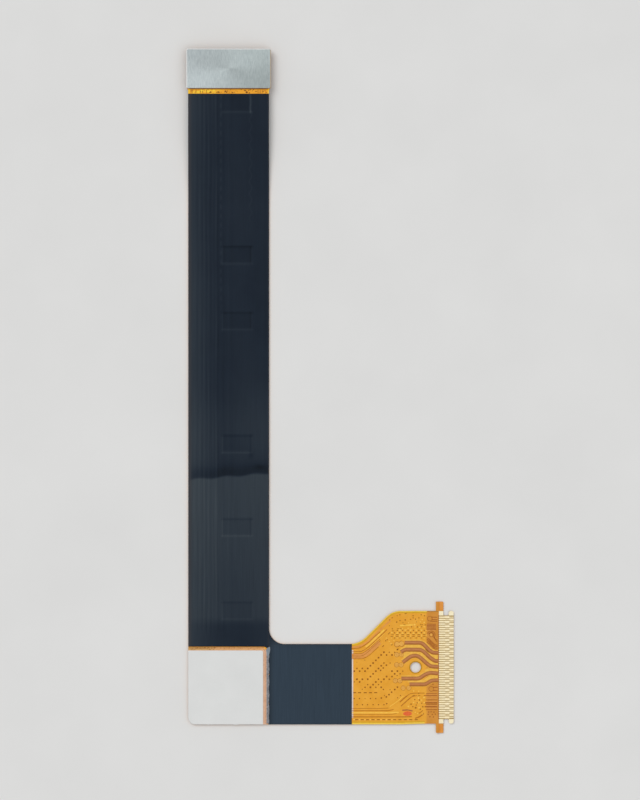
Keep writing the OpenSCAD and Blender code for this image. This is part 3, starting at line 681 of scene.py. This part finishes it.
# specks, bars and bright ends in the bare strip beside the plate, and along the pad's upper margin
b, c = Build(), Build()
rng = random.Random(11)
zb = LIFT + COVER_TOP
zp = COVER_TOP + BOND
for k in range(44):
    x = LEFT + 0.2 + k * 0.235 + rng.uniform(-0.07, 0.07)
    if rng.random() < 0.25:
        continue
    b.dot(x, rng.uniform(75.68, 76.14), rng.uniform(0.035, 0.07), zb, zb + FLAT, 6, rng.uniform(0, 60),
          (1, rng.uniform(0.8, 1.6)))
for x in (-29.45, -28.95, -28.35, -28.05, -27.55, -20.75, -20.45, -20.2, -19.75):
    b.ribbon([(x, 75.62), (x + rng.uniform(-0.04, 0.04), 76.12)], 0.055, zb, zb + FLAT, 0.01)
for x, y, s in ((-27.0, 75.8, 0.13), (-26.0, 75.8, 0.13), (-25.05, 75.92, 0.12), (-24.9, 75.78, 0.1),
                (-24.1, 75.72, 0.08),
                (-22.4, 76.0, 0.1), (-22.25, 75.78, 0.15), (-21.9, 75.7, 0.09)):
    b.dot(x, y, s, zb, zb + FLAT, 7, 20, (1.1, 0.8))
b.ribbon([(LEFT + 0.1, 76.22), (RIGHT - 0.1, 76.22)], 0.1, zb, zb + FLAT, 0.01)
for x in (LEFT + 0.07, LEFT + 0.2, RIGHT - 0.06):
    c.ribbon([(x, 75.6), (x, 76.26)], 0.07, zb, zb + 0.004, 0.01)
for x, y in ((-28.7, 75.86), (-28.2, 76.0), (-27.3, 75.85), (-26.6, 76.02)):
    c.dot(x, y, 0.13, zb, zb + 0.004, 8, 0, (1.5, 0.7))
for k in range(24):
    x = -29.6 + k * 0.14 + rng.uniform(-0.05, 0.05)
    b.dot(x, rng.uniform(2.34, 2.6), rng.uniform(0.03, 0.055), zp, zp + 0.003, 6, 10,
          (rng.uniform(1, 2.2), 1))
for k in range(12):
    x = -26.2 + k * 0.5 + rng.uniform(-0.2, 0.2)
    b.dot(x, rng.uniform(2.36, 2.56), rng.uniform(0.025, 0.04), zp, zp + 0.003, 6, 10,
          (rng.uniform(1, 2.6), 1))
b.ribbon([(-29.9, 2.635), (-20.0, 2.635)], 0.05, zp, zp + 0.003, 0.01)
make("dark_specks", b, under_film("dark_speck", (108, 62, 22), (150, 88, 34), 8), "tape_adhesive")
make("bright_strip_ends", c, under_film("bright_strip_end", (250, 210, 60), (255, 228, 74), 5), "coverlay")
b = Build()
b.ribbon(soften([(-19.83, BOTTOM + 0.1), (-19.83, 2.45), (-29.9, 2.45)], 0.5, 8), 0.06, zp, zp + 0.002,
         0.01)
make("pad_edge_line", b, under_film("pad_groove", (176, 116, 78), (200, 140, 100), 5), "tape_adhesive")

# ---------------------------------------------------------------- the amber end
START = SHIELD_END + 0.02
Z0 = COVER_TOP - MARK_FOOT

# the bright edges of the film, with an olive shade inside them
b, c, d = Build(), Build(), Build()
edge = outline([(START, ARM_TOP + 0.5, 0), (START, ARM_TOP - 0.06, 0), (-7.43 + 0.03, ARM_TOP - 0.06, 3.06),
                (-3.07 + 0.03, HALF - 0.06, 2.44), (1.5, HALF - 0.06, 0), (1.5, HALF + 0.4, 0)])[1:-1]
b.ribbon(edge, 0.12, COVER_TOP, COVER_TOP + FLAT, 0.02)
b.ribbon([(START, BOTTOM + 0.1), (-2.0, BOTTOM + 0.1), (1.2, -HALF + 0.1)], 0.19, COVER_TOP,
         COVER_TOP + FLAT, 0.02)
c.ribbon([(1.5, HALF - 0.06), (2.95, HALF - 0.06)], 0.12, COVER_TOP, COVER_TOP + FLAT, 0.02)
inner = outline([(START, ARM_TOP + 0.5, 0), (START, ARM_TOP - 0.2, 0), (-7.43 + 0.09, ARM_TOP - 0.2, 3.2),
                 (-3.07 + 0.09, HALF - 0.2, 2.3), (1.5, HALF - 0.2, 0), (1.5, HALF + 0.4, 0)])[1:-1]
d.ribbon(inner, 0.16, COVER_TOP, COVER_TOP + FLAT * 0.5, 0.02)
d.ribbon([(START, BOTTOM + 0.3), (-2.0, BOTTOM + 0.3), (1.2, -HALF + 0.28)], 0.16, COVER_TOP,
         COVER_TOP + FLAT * 0.5, 0.02)
make("amber_edge_glow", b, under_film("amber_edge_glow", (236, 200, 72), (246, 212, 88)), "coverlay")
make("amber_edge_shade", c, under_film("amber_edge_shade", (172, 122, 52), (190, 138, 68)), "coverlay")
make("olive_edge_band", d, under_film("olive_edge_band", (212, 158, 30), (224, 172, 44)), "coverlay")

# five wide tracks to the finger slots, over darker edges and bright gaps
WIDE = [
    [(-1.45, 3.29), (0.58, 3.30), (1.02, 3.12), (1.84, 2.27), (2.28, 1.98), (2.95, 1.95)],
    [(-1.91, 2.05), (-1.40, 2.38), (0.64, 2.36), (1.08, 2.14), (1.97, 1.26), (2.6, 0.88), (2.95, 0.87)],
    [(-1.69, 0.69), (-0.62, 1.51), (0.14, 1.60), (0.64, 1.32), (1.43, 0.59), (1.97, 0.18), (2.95, 0.10)],
    [(-1.87, -1.43), (0.49, -1.43), (1.29, -0.89), (1.90, -0.66), (2.95, -0.76)],
    [(-0.79, -2.2), (1.29, -2.2), (1.70, -1.97), (2.1, -1.70), (2.95, -1.67)],
]
GAPS = [
    (0.5, [(-1.45, 2.84), (0.6, 2.84), (1.05, 2.63), (1.9, 1.77), (2.45, 1.42), (2.95, 1.4)]),
    (0.5, [(-1.6, 1.35), (-1.1, 1.95), (0.35, 1.98), (0.86, 1.73), (1.7, 0.93), (2.3, 0.53), (2.95, 0.48)]),
    (0.36, [(-1.0, -1.82), (1.2, -1.82), (1.6, -1.5), (2.0, -1.2), (2.95, -1.22)]),
    (0.3, [(1.2, -0.42), (1.9, -0.22), (2.95, -0.32)]),
]
b, c, d, e = Build(), Build(), Build(), Build()
strokes(b, 0.0012, GAPS)
strokes(b, 0.003, [(0.74, line) for line in WIDE])
strokes(c, 0.006, [(0.58, [(x, y - 0.05) for x, y in line]) for line in WIDE])
strokes(d, 0.009, [(0.45, line) for line in WIDE])
strokes(e, 0.011, [(0.2, line) for line in WIDE])
make("track_gap_glow", b, under_film("track_gap_glow", (230, 172, 66), (246, 194, 84)), "coverlay")
make("wide_track_edges", c, under_film("wide_track_edge", (160, 94, 34), (176, 108, 46)), "copper")
make("wide_tracks", d, under_film("wide_track", (174, 108, 60), (190, 124, 72), 1.6), "copper")
make("wide_track_sheen", e, under_film("wide_track_sheen", (188, 122, 74), (202, 138, 88), 2), "copper")

# vias, and the dark rim of the locating hole
RINGS = [(-2.475, 1.666), (-1.86, 1.68), (-2.49, 0.33), (-1.89, 0.33), (-2.66, -1.77), (-2.055, -1.77),
         (-1.62, -2.73),
         (-0.89, -2.72)]
b, c = Build(), Build()
for x, y in RINGS:
    c.dot(x, y, 0.31, Z0, RAISED + 0.004, 18, 0, (1, 1), 0.92)
    b.ring(x, y, 0.33, 0.26, Z0, RAISED + 0.008)
    b.ring(x, y, 0.17, 0.11, Z0, RAISED + 0.008, 14)
    b.dot(x, y, 0.05, Z0, RAISED + 0.008, 8, 0)
for x, y in ((-1.857, 3.095), (-2.437, 3.058)):
    c.dot(x, y, 0.33, Z0, RAISED + 0.012, 18, 0, (1, 1), 0.9)
b.ring(-1.857, 3.095, 0.2, 0.15, Z0, RAISED + 0.014)
b.ring(-1.84, 3.11, 0.4, 0.33, Z0, RAISED + 0.008)
b.ring(-2.437, 3.04, 0.39, 0.33, Z0, RAISED + 0.008)
b.ring(1.87, 6.43, 0.35, 0.28, Z0, RAISED + 0.008)
b.ring(2.07, -2.84, 0.36, 0.29, Z0, RAISED + 0.008)
b.ring(2.06, 4.28, 0.29, 0.22, Z0, RAISED + 0.008)
c.dot(2.06, 4.28, 0.16, Z0, RAISED + 0.006, 12, 0)
make("via_rings", b, under_film("via_ring", (166, 98, 34), (186, 120, 48), 5), "copper")
make("via_pad_glow", c, under_film("via_pad_glow", (226, 162, 76), (244, 186, 84), 5), "copper")
b = Build()
b.ring(0, 0, HOLE_RADIUS + 0.16, HOLE_RADIUS + 0.005, Z0, RAISED + 0.004, 40)
make("hole_rim", b, under_film("hole_rim", (182, 130, 26), (204, 152, 44), 4), "coverlay")

# fine tracks up the slope: dark lines with bright and pinkish ones between
dark_lines = [
    (0.13, [(START, 2.45), (-7.45, 2.5), (-7.0, 2.74), (-6.19, 3.28), (-5.51, 3.94), (-4.65, 4.69)]),
    (0.1, [(START, 2.06), (-7.25, 2.06), (-6.79, 2.25), (-6.19, 2.70), (-5.74, 3.1), (-5.06, 3.73),
           (-4.05, 4.69), (-3.75, 5.0)]),
    (0.1, [(START, 1.78), (-7.2, 1.78), (-6.75, 2.0), (-6.2, 2.36), (-5.81, 2.72), (-5.3, 3.2),
           (-4.7, 3.75)]),
    (0.1, [(START, 1.5), (-7.1, 1.5), (-6.7, 1.68), (-5.9, 2.35), (-5.2, 3.05), (-4.6, 3.55)]),
    (0.06, [(START, 1.33), (-7.0, 1.33)]),
    (0.11, [(START, 1.13), (-7.0, 1.13), (-6.69, 1.24), (-6.13, 1.54), (-5.43, 2.2), (-4.87, 2.72)]),
    # along the arm's foot and beside the lower hatch
    (0.07, [(START, -5.43), (-5.0, -5.43), (-3.6, -5.38)]),
    (0.1, [(START, -5.73), (-3.6, -5.73), (-2.9, -5.55)]),
    (0.06, [(START, -6.24), (-3.3, -6.24), (-2.5, -6.1)]),
    (0.13, [(START, -6.54), (-1.2, -6.54), (-0.5, -6.5)]),
    (0.16, [(-2.07, -4.59), (-1.6, -4.16), (-1.13, -3.78)]),
    (0.13, [(-1.93, -5.13), (-1.3, -4.55), (-0.72, -4.05)]),
    (0.1, [(0.96, -5.67), (0.74, -5.9), (0.42, -6.07)]), (0.17,
            [(1.09, -6.07), (0.6, -6.5), (-0.05, -6.74)]),
    (0.09, [(-0.72, -4.05), (-0.45, -3.85), (0.2, -3.72)]),
    (0.09, [(-1.13, -3.78), (-0.8, -3.5), (-0.1, -3.4), (1.2, -3.4)]),
]
bright_lines = [
    (0.24, [(-6.6, 2.72), (-6.19, 2.98), (-5.56, 3.585), (-5.06, 4.09), (-4.55, 4.5), (-4.1, 4.95)]),
    (0.08, [(-6.0, 2.72), (-5.4, 3.25), (-4.8, 3.8), (-4.1, 4.45)]),
    (0.18, [(START, -6.0), (-3.6, -6.0), (-2.2, -5.95)]),
    (0.22, [(-2.07, 5.5), (-0.9, 5.56), (-0.3, 5.6)]),
    (0.1, [(-3.4, -5.2), (-2.4, -4.5), (-1.6, -3.8)]),
]
pink_lines = [
    (0.22, [(START, 2.64), (-7.5, 2.7), (-6.9, 2.96), (-6.1, 3.54), (-5.4, 4.24), (-4.55, 5.04),
            (-3.9, 5.64), (-3.3, 6.15)]),
    (0.62, [(START, 1.46), (-7.1, 1.46), (-6.6, 1.7), (-6.0, 2.15), (-5.3, 2.8), (-4.7, 3.3)]),
]
b, c, d = Build(), Build(), Build()
strokes(b, 0.008, dark_lines)
strokes(c, 0.005, bright_lines)
strokes(d, 0.003, pink_lines)
make("fine_tracks", b, under_film("fine_track", (180, 108, 26), (196, 124, 38), 3), "copper")
make("bright_film_lines", c, under_film("bright_film_line", (246, 188, 72), (254, 206, 88), 3), "coverlay")
make("pinkish_tracks", d, under_film("pinkish_track", (218, 146, 72), (234, 160, 84), 3), "copper")

# the orange zone beside the contacts
dark_lines = [(0.1, [(1.46, y), (2.7, y - 0.02)]) for y in (5.70, 5.51, 5.34, 5.165, 5.01)]
dark_lines += [(0.1, [(2.1, 6.62), (2.85, 6.6)]), (0.11, [(2.15, 6.28), (2.85, 6.26)]),
               (0.08, [(1.95, 6.08), (2.85, 6.04)])]
dark_lines += [(0.1, [(1.46, 3.9 + d), (1.75, 3.78 + d), (2.3, 3.22 + d), (2.6, 2.95 + d), (2.9, 2.9 + d)])
               for d in (0.0, -0.2, -0.4, -0.6)]
for r, end in ((0.34, 3.62), (0.52, 3.42)):
    arc = [(2.06 + r * math.cos(a), 4.28 + r * math.sin(a)) for a in np.linspace(2.9, -0.75, 12)]
    dark_lines.append((0.08, arc + [(2.75, end), (2.9, end - 0.04)]))
dark_lines += [(0.1, [(2.3, -2.64), (2.9, -2.62)]), (0.1, [(2.3, -3.08), (2.9, -3.1)])]
dark_lines += [(w, [(x, y), (2.87, y)]) for x, y, w in (
    (1.36, -3.48, 0.08), (1.1, -3.74, 0.1), (1.36, -4.29, 0.08), (1.1, -4.69, 0.17), (1.36, -4.91, 0.08),
    (1.2, -5.20, 0.16), (1.36, -5.57, 0.07))]
# a painted shadow: the thin dark line where the coverlay ends beside the contacts
dark_lines.append((0.07, [(3.02, -6.9), (3.02, 6.9)]))
light_lines = [(0.07, [(1.46, y), (2.75, y - 0.02)]) for y in (5.6, 5.425, 5.25, 5.09, 4.9)]
light_lines += [(0.1, [(1.36, y), (2.87, y)]) for y in (-3.6, -3.9, -4.15, -4.5, -5.04, -5.4)]
light_lines += [(0.08, [(2.3, 6.44), (2.87, 6.43)]), (0.1, [(2.35, -2.86), (2.87, -2.86)])]
b, c = Build(), Build()
strokes(b, 0.008, dark_lines)
strokes(c, 0.005, light_lines)
spots(b, 0.008, 0.1, [(2.30, -2.24), (1.72, -5.9), (2.05, -5.86), (2.42, -5.92), (1.66, -6.2), (2.2, -6.24),
                      (2.6, -6.18),
                      (1.9, -6.52), (2.35, -6.55)], 4, 30)
# the tracks beside the contacts and the painted shadow at the coverlay's end share this material
make("orange_zone_tracks_and_end_shadow", b, under_film("orange_zone_track", (160, 90, 34), (178, 108, 46), 4), "copper")
make("orange_zone_lines", c, under_film("orange_zone_line", (218, 148, 70), (232, 164, 86), 4), "coverlay")

# small openings that look like dark dots, in diagonal rows
GX, GY, G = -8.086, 1.984, 0.3557


def sites(*places, size=0.15):
    return [(GX + p[0] * G, GY - p[1] * G, p[2] if len(p) > 2 else size) for p in places]


dots = sites((0, 7), (2, 7), (12, 1, 0.14), (14, 1), *[(4 + k, 7 - k) for k in range(8)])
dots += sites((1, 6), (3, 6), (13, 0, 0.1), (15, 0, 0.1), (16, -1), size=0.13)
dots += sites(*[(5 + k, 10 - k, 0.15 if k < 6 else 0.12) for k in range(7)])
dots += [(-4.61, -0.40, 0.13), (-4.26, -0.09, 0.13), (-3.84, 0.28, 0.13), (-3.36, 0.56, 0.09)]
dots += sites((1, 10, 0.16), (3, 10, 0.15), (2, 11), (0, 11, 0.1), (14, 7), (16, 7), (15, 8), (18, 7, 0.1),
              (17, 8, 0.11))
dots += sites((12, 9), (14, 9, 0.13), (11, 10), (13, 10, 0.13), (10, 11, 0.13), (9, 10, 0.13))
dots += sites((6, 13, 0.16), (7, 12), (8, 11), (8, 13, 0.12), (4, 13, 0.12), (10, 13), (9, 12, 0.1),
              (5, 12, 0.1), (3, 13.7, 0.08),
              (10.8, 13.8, 0.11))
dots += [(x, y, 0.14) for x, y in ((-2.39, -2.61), (-2.74, -2.93), (-3.16, -3.28), (-3.50, -3.60),
                                   (-3.86, -3.90))]
dots += [(-4.105, -3.73, 0.08), (-3.37, -2.96, 0.08), (-2.43, -1.09, 0.09), (-1.99, -3.72, 0.09),
         (-2.36, -4.02, 0.09),
         (-4.52, -4.05, 0.13), (-3.80, -4.79, 0.12), (-7.74, 0.66, 0.06), (-6.70, 0.94, 0.07)]
dots += [(x, -4.12, 0.11) for x in (-8.1, -7.39, -5.95, -5.25)] + [(-6.66, -4.12, 0.07)]
dots += [(x, -4.93, 0.1) for x in (-4.17, -4.89, -5.60, -6.34, -7.0, -7.72)]
b = Build()
spots(b, 0.01, 0.15, dots)
strokes(b, 0.01, [(0.12, [(x - 0.2, -3.35), (x + 0.2, -3.35)]) for x in (-8.02, -7.39, -6.63, -5.95,
        -5.25)])
strokes(b, 0.01, [(0.11, [(x, -6.91), (x + 0.4, -6.91)]) for x in np.arange(-7.955, 0.4, 0.7126)])
strokes(b, 0.01, [(0.1, [(-4.37, 2.7), (-4.17, 2.9)]), (0.09, [(-3.24, 2.92), (-3.02, 3.0)]),
                  (0.1, [(-2.44, 2.28), (-2.24, 2.46)]),
                  (0.1, [(-3.62, 4.36), (-3.38, 4.6)])])
make("opening_dots", b, under_film("opening_dot", (142, 84, 20), (166, 102, 32), 6), "copper")

# hatch: bright openings between dark crossings
b, c = Build(), Build()
even = [-2.06 + 0.712 * n for n in range(5)]
odd = [-2.41 + 0.712 * n for n in range(6)]
spots(b, 0.012, 0.2, [(x, 4.9) for x in even], 3, -90, (1.15, 0.87))
strokes(b, 0.012, [(0.13, [(x, 4.35), (x, 3.99)]) for x in even])
spots(b, 0.012, 0.2, [(x, 4.5) for x in odd[:5]], 3, 90, (1.04, 1.0))
spots(b, 0.012, 0.14, [(x, 3.877) for x in odd], 8, 0, (1.0, 0.5))
spots(c, 0.01, 0.12, [(x, 4.57) for x in even])
spots(c, 0.01, 0.09, [(x, 3.865) for x in even])
spots(c, 0.01, 0.1, [(x, 4.87) for x in odd])
strokes(c, 0.008, [(0.1, [(x - 0.17, 4.29), (x + 0.17, 4.29)]) for x in odd])
strokes(c, 0.008, [(0.08, [(x - 0.17, 4.04), (x + 0.17, 4.04)]) for x in odd])
spots(b, 0.012, 0.12, [(1.146, 4.54, 0.15), (1.40, 4.88, 0.1), (1.40, 4.22, 0.1), (-3.13, 4.56, 0.16),
                       (-3.17, 3.877, 0.11),
                       (-3.85, 3.84), (-3.45, 3.40), (-3.22, 3.13), (-2.84, 3.5), (-1.28, 6.90, 0.09),
                       (-0.115, 5.61, 0.17),
                       (0.64, 5.985), (1.146, 5.92), (1.146, 5.35), (0.52, 5.29), (-0.05, 5.32),
                       (0.2, 6.35), (0.89, 6.3),
                       (-0.93, 5.86, 0.1), (-1.72, 5.09), (-0.975, 5.15)], 4, 0)
strokes(b, 0.012, [(0.1, [(-2.765, 4.35), (-2.765, 4.0)]), (0.07, [(-1.42, 6.9), (-1.14, 6.9)])])
strokes(c, 0.008, [(0.08, [(x - 0.15, y), (x + 0.15, y)]) for x, y in (
    (-3.04, 4.29), (-3.14, 4.04), (-2.97, 4.8), (-1.30, 7.08), (-1.45, 5.6), (-2.29, 5.08), (-0.25, -3.72),
    (0.486, -3.72))])
spots(c, 0.01, 0.1, [(-2.765, 4.545), (-2.75, 3.865), (-3.72, 3.63), (-3.94, 3.49), (-3.09, 6.53),
                     (-3.42, 6.25), (-2.07, 6.93),
                     (-2.42, 6.8, 0.08), (-0.32, 6.80), (-0.32, 6.52), (-2.48, 5.96, 0.12), (-2.05, 6.16),
                     (-1.36, 6.25, 0.12),
                     (-0.65, 6.32), (-3.45, 5.48, 0.08), (-1.66, 5.88, 0.08), (-3.07, 5.08), (-1.93, 5.1),
                     (-0.52, 5.34),
                     (0.26, 5.32), (0.8, 5.34), (0.7, 5.64), (0.9, 5.6, 0.08), (1.27, 5.6), (0.45, 6.52),
                     (0.74, 6.93),
                     (1.18, 6.80), (0.01, 6.36), (0.14, 5.98, 0.08)])
# the lower hatch
spots(b, 0.012, 0.15, [(0.385, -4.05), (1.125, -3.99), (0.755, -4.32), (-0.25, -4.66), (0.42, -4.66),
                       (1.16, -4.66),
                       (-0.96, -5.16), (0.45, -5.33), (-0.05, -5.94, 0.12), (0.3, -6.1, 0.12),
                       (0.89, -6.15, 0.1),
                       (-0.25, -3.11, 0.12), (0.42, -3.15, 0.12)], 4, 0)
spots(c, 0.01, 0.12, [(0.52, -4.32), (0.22, -4.69, 0.1), (0.82, -4.73, 0.1), (-0.59, -4.86),
                      (0.016, -5.33, 0.16), (0.957, -5.2),
                      (0.62, -5.53), (0.42, -3.45, 0.09), (-0.1, -4.25, 0.1), (0.1, -4.98, 0.1),
                      (-0.35, -5.2, 0.1)])
spots(b, 0.012, 0.11, [(x, -6.91) for x in (-8.105, -7.39, -6.66, -5.95, -5.25, -4.54, -3.83, -3.1)], 8, 0,
      (1.3, 0.7))
make("hatch_openings", b, under_film("hatch_opening", (244, 186, 68), (255, 208, 100), 5), "coverlay")
make("hatch_crossings", c, under_film("hatch_crossing", (154, 96, 20), (176, 112, 32), 5), "copper")

b, c = Build(), Build()
c.ribbon([(-1.75, -5.66), (-1.06, -5.62), (-0.4, -5.76)], 0.16, Z0, RAISED + 0.009, 0.03)
b.dot(-1.06, -6.10, 0.6, Z0, RAISED + 0.009, 18, 0, (1, 0.52), 0.85)
make("red_spot", b, under_film("red_spot", (226, 100, 50), (242, 122, 68), 3), "copper")
make("red_spot_shade", c, under_film("red_spot_shade", (166, 92, 52), (184, 108, 66), 3), "copper")

# ---------------------------------------------------------------- materials of the CAD nodes
cover = Nodes("amber_coverlay")
mm = cover.scaled(1000, 1000, 1000)
x, y = cover.axis(mm, 0), cover.axis(mm, 1)
cloud = cover.noise(mm, 0.8, 4)
grain = cover.noise(mm, 12, 5, 0.7)
tone = cover.mix(cover.grey(cloud, 0, 1), lin((229, 159, 43)), lin((240, 173, 59)))
tongue = cover.mix(cover.grey(cloud, 0, 1), lin((204, 134, 46)), lin((216, 147, 60)))
tone = cover.mix(cover.grey(x, 0, 1, 1.3, 1.6), tone, tongue)
strip = cover.mix(cover.grey(cloud, 0, 1), lin((234, 158, 40)), lin((246, 172, 48)))
patchy = cover.maths("MULTIPLY", cover.grey(cover.noise(mm, 1.6, 3), 0, 0.9, 0.5, 0.62),
                     cover.grey(x, 1, 0, -27, -25))
strip = cover.mix(patchy, strip, lin((255, 204, 60)))
tone = cover.mix(cover.grey(y, 0, 1, 60, 61), tone, strip)
tone = cover.mix(cover.grey(grain, 0, 0.15), tone, lin((196, 128, 36)))
cover.bump(cover.maths("ADD", cloud, cover.maths("MULTIPLY", grain, 0.2)), 0.2, 0.01)
cover = cover.done(tone, cover.grey(grain, 0.28, 0.4), spec=0.15, coat=0.04)

core = Nodes("polyimide_core")
mm = core.scaled(1000, 1000, 1000)
x, y = core.axis(mm, 0), core.axis(mm, 1)
cloud = core.noise(mm, 1.2, 4)
grain = core.noise(mm, 12, 5, 0.7)
ear = core.mix(core.grey(cloud, 0, 1), lin((216, 138, 50)), lin((232, 154, 66)))
between = core.mix(core.grey(cloud, 0, 1), lin((176, 152, 100)), lin((196, 172, 120)))
tone = core.mix(core.grey(core.maths("ABSOLUTE", y), 0, 1, 7.4, 7.48), between, ear)
tone = core.mix(core.grey(x, 1, 0, 2.4, 2.5), tone, ear)
tone = core.mix(core.grey(grain, 0, 0.15), tone, lin((170, 116, 60)))
core.bump(grain, 0.2, 0.006)
core = core.done(tone, core.grey(grain, 0.3, 0.42), spec=0.2)


def pale_gold(name, low, high, worn):
    n = Nodes(name)
    mm = n.scaled(1000, 1000, 1000)
    brushed = n.noise(n.scaled(2600, 16000, 9000), 1.0, 5, 0.65)
    patch = n.noise(mm, 2.2, 3)
    tone = n.mix(n.grey(patch, 0, 1), lin(low), lin(high))
    tone = n.mix(n.grey(brushed, 0, 0.25), tone, lin(worn))
    n.bump(brushed, 0.2, 0.004)
    return n.done(tone, n.grey(brushed, 0.34, 0.48), metal=0.2, spec=0.4)


assigned = {
    "front_coverlay": cover,
    "back_coverlay": film_material("amber_back_coverlay", (196, 128, 40)),
    "base_film": core,
    "contact_stiffener": film_material("stiffener_film", (176, 106, 38), 0.08, spec=0.4),
    "stiffener_adhesive": film_material("bond_line", (214, 176, 104), 0.1, (0.4, 0.6)),
    "plate_adhesive": film_material("plate_bond_line", (206, 186, 128), 0.1, (0.45, 0.65)),
    "adhesive_pad": pad_tone(),
    "film_edge_seal": film_material("pale_edge_seal", (222, 206, 198), 0.12, (0.35, 0.5), fine=7),
    "back_shield_film": film_material("dark_back_film", (40, 47, 56), 0.14, (0.42, 0.6), 0.22, 0.06, 14),
    "plug_housing": film_material("moulded_housing", (34, 34, 36), 0.1, (0.4, 0.55), 0.4, 0.0, 16),
    "contact_fingers": pale_gold("pale_gold", (250, 232, 186), (255, 243, 208), (236, 208, 150)),
    "end_pads": pale_gold("end_pad_gold", (246, 234, 196), (252, 242, 210), (236, 214, 160)),
    "plug_contacts": metal_material("plug_gold", (226, 182, 96), (0.22, 0.36), (14, 60, 14)),
    "plug_lands": metal_material("land_gold", (232, 192, 108), (0.3, 0.45), (30, 30, 30)),
    "plug_anchors": metal_material("tinned_clip", (196, 198, 202), (0.3, 0.45), (30, 12, 30)),
    "solder_fillets": metal_material("solder", (186, 188, 192), (0.25, 0.5), (20, 20, 20)),
}
copper = metal_material("rolled_copper", (206, 138, 92), (0.3, 0.5), (12, 50, 30))
for name, obj in nodes.items():
    material = assigned.get(name, copper)
    obj.data.materials.clear()
    obj.data.materials.append(material)

# ---------------------------------------------------------------- floor, light and camera
floor_z = cad_box[0].z
bpy.ops.mesh.primitive_plane_add(size=6, location=(0, 0, floor_z - 0.00002))
floor = bpy.context.object
floor.name = "floor"
paint = Nodes("pale_floor")
soft = paint.noise(paint.scaled(60, 60, 60), 1.0, 3)
tone = paint.mix(paint.grey(soft, 0, 1), lin((222, 222, 221)), lin((226, 226, 225)))
floor.data.materials.append(paint.done(tone, 0.8, spec=0.1))

world = bpy.data.worlds.new("studio")
bpy.context.scene.world = world
world.use_nodes = True
world.node_tree.nodes["Background"].inputs[0].default_value = (1, 1, 1, 1)
world.node_tree.nodes["Background"].inputs[1].default_value = 0.5


def sun(name, strength, angle, direction):
    data = bpy.data.lights.new(name, "SUN")
    data.energy = strength
    data.angle = math.radians(angle)
    obj = bpy.data.objects.new(name, data)
    bpy.context.collection.objects.link(obj)
    obj.rotation_euler = Vector(direction).to_track_quat("-Z", "Y").to_euler()


sun("key", 1.25, 40, (0.45, -0.5, -0.9))
sun("fill", 0.45, 60, (-0.5, 0.25, -1))

cam = bpy.data.cameras.new("camera")
cam.lens = 200
cam.sensor_width = 36
camera = bpy.data.objects.new("camera", cam)
bpy.context.collection.objects.link(camera)
FRAME_HIGH = 105.54
camera.location = (-12.6 * MM, 35.25 * MM, FRAME_HIGH / 2 * MM / (18 / 200))
camera.rotation_euler = (0, 0, 0)
cam.clip_start, cam.clip_end = 0.01, 10
bpy.context.scene.camera = camera
bpy.context.scene.view_settings.view_transform = "Standard"
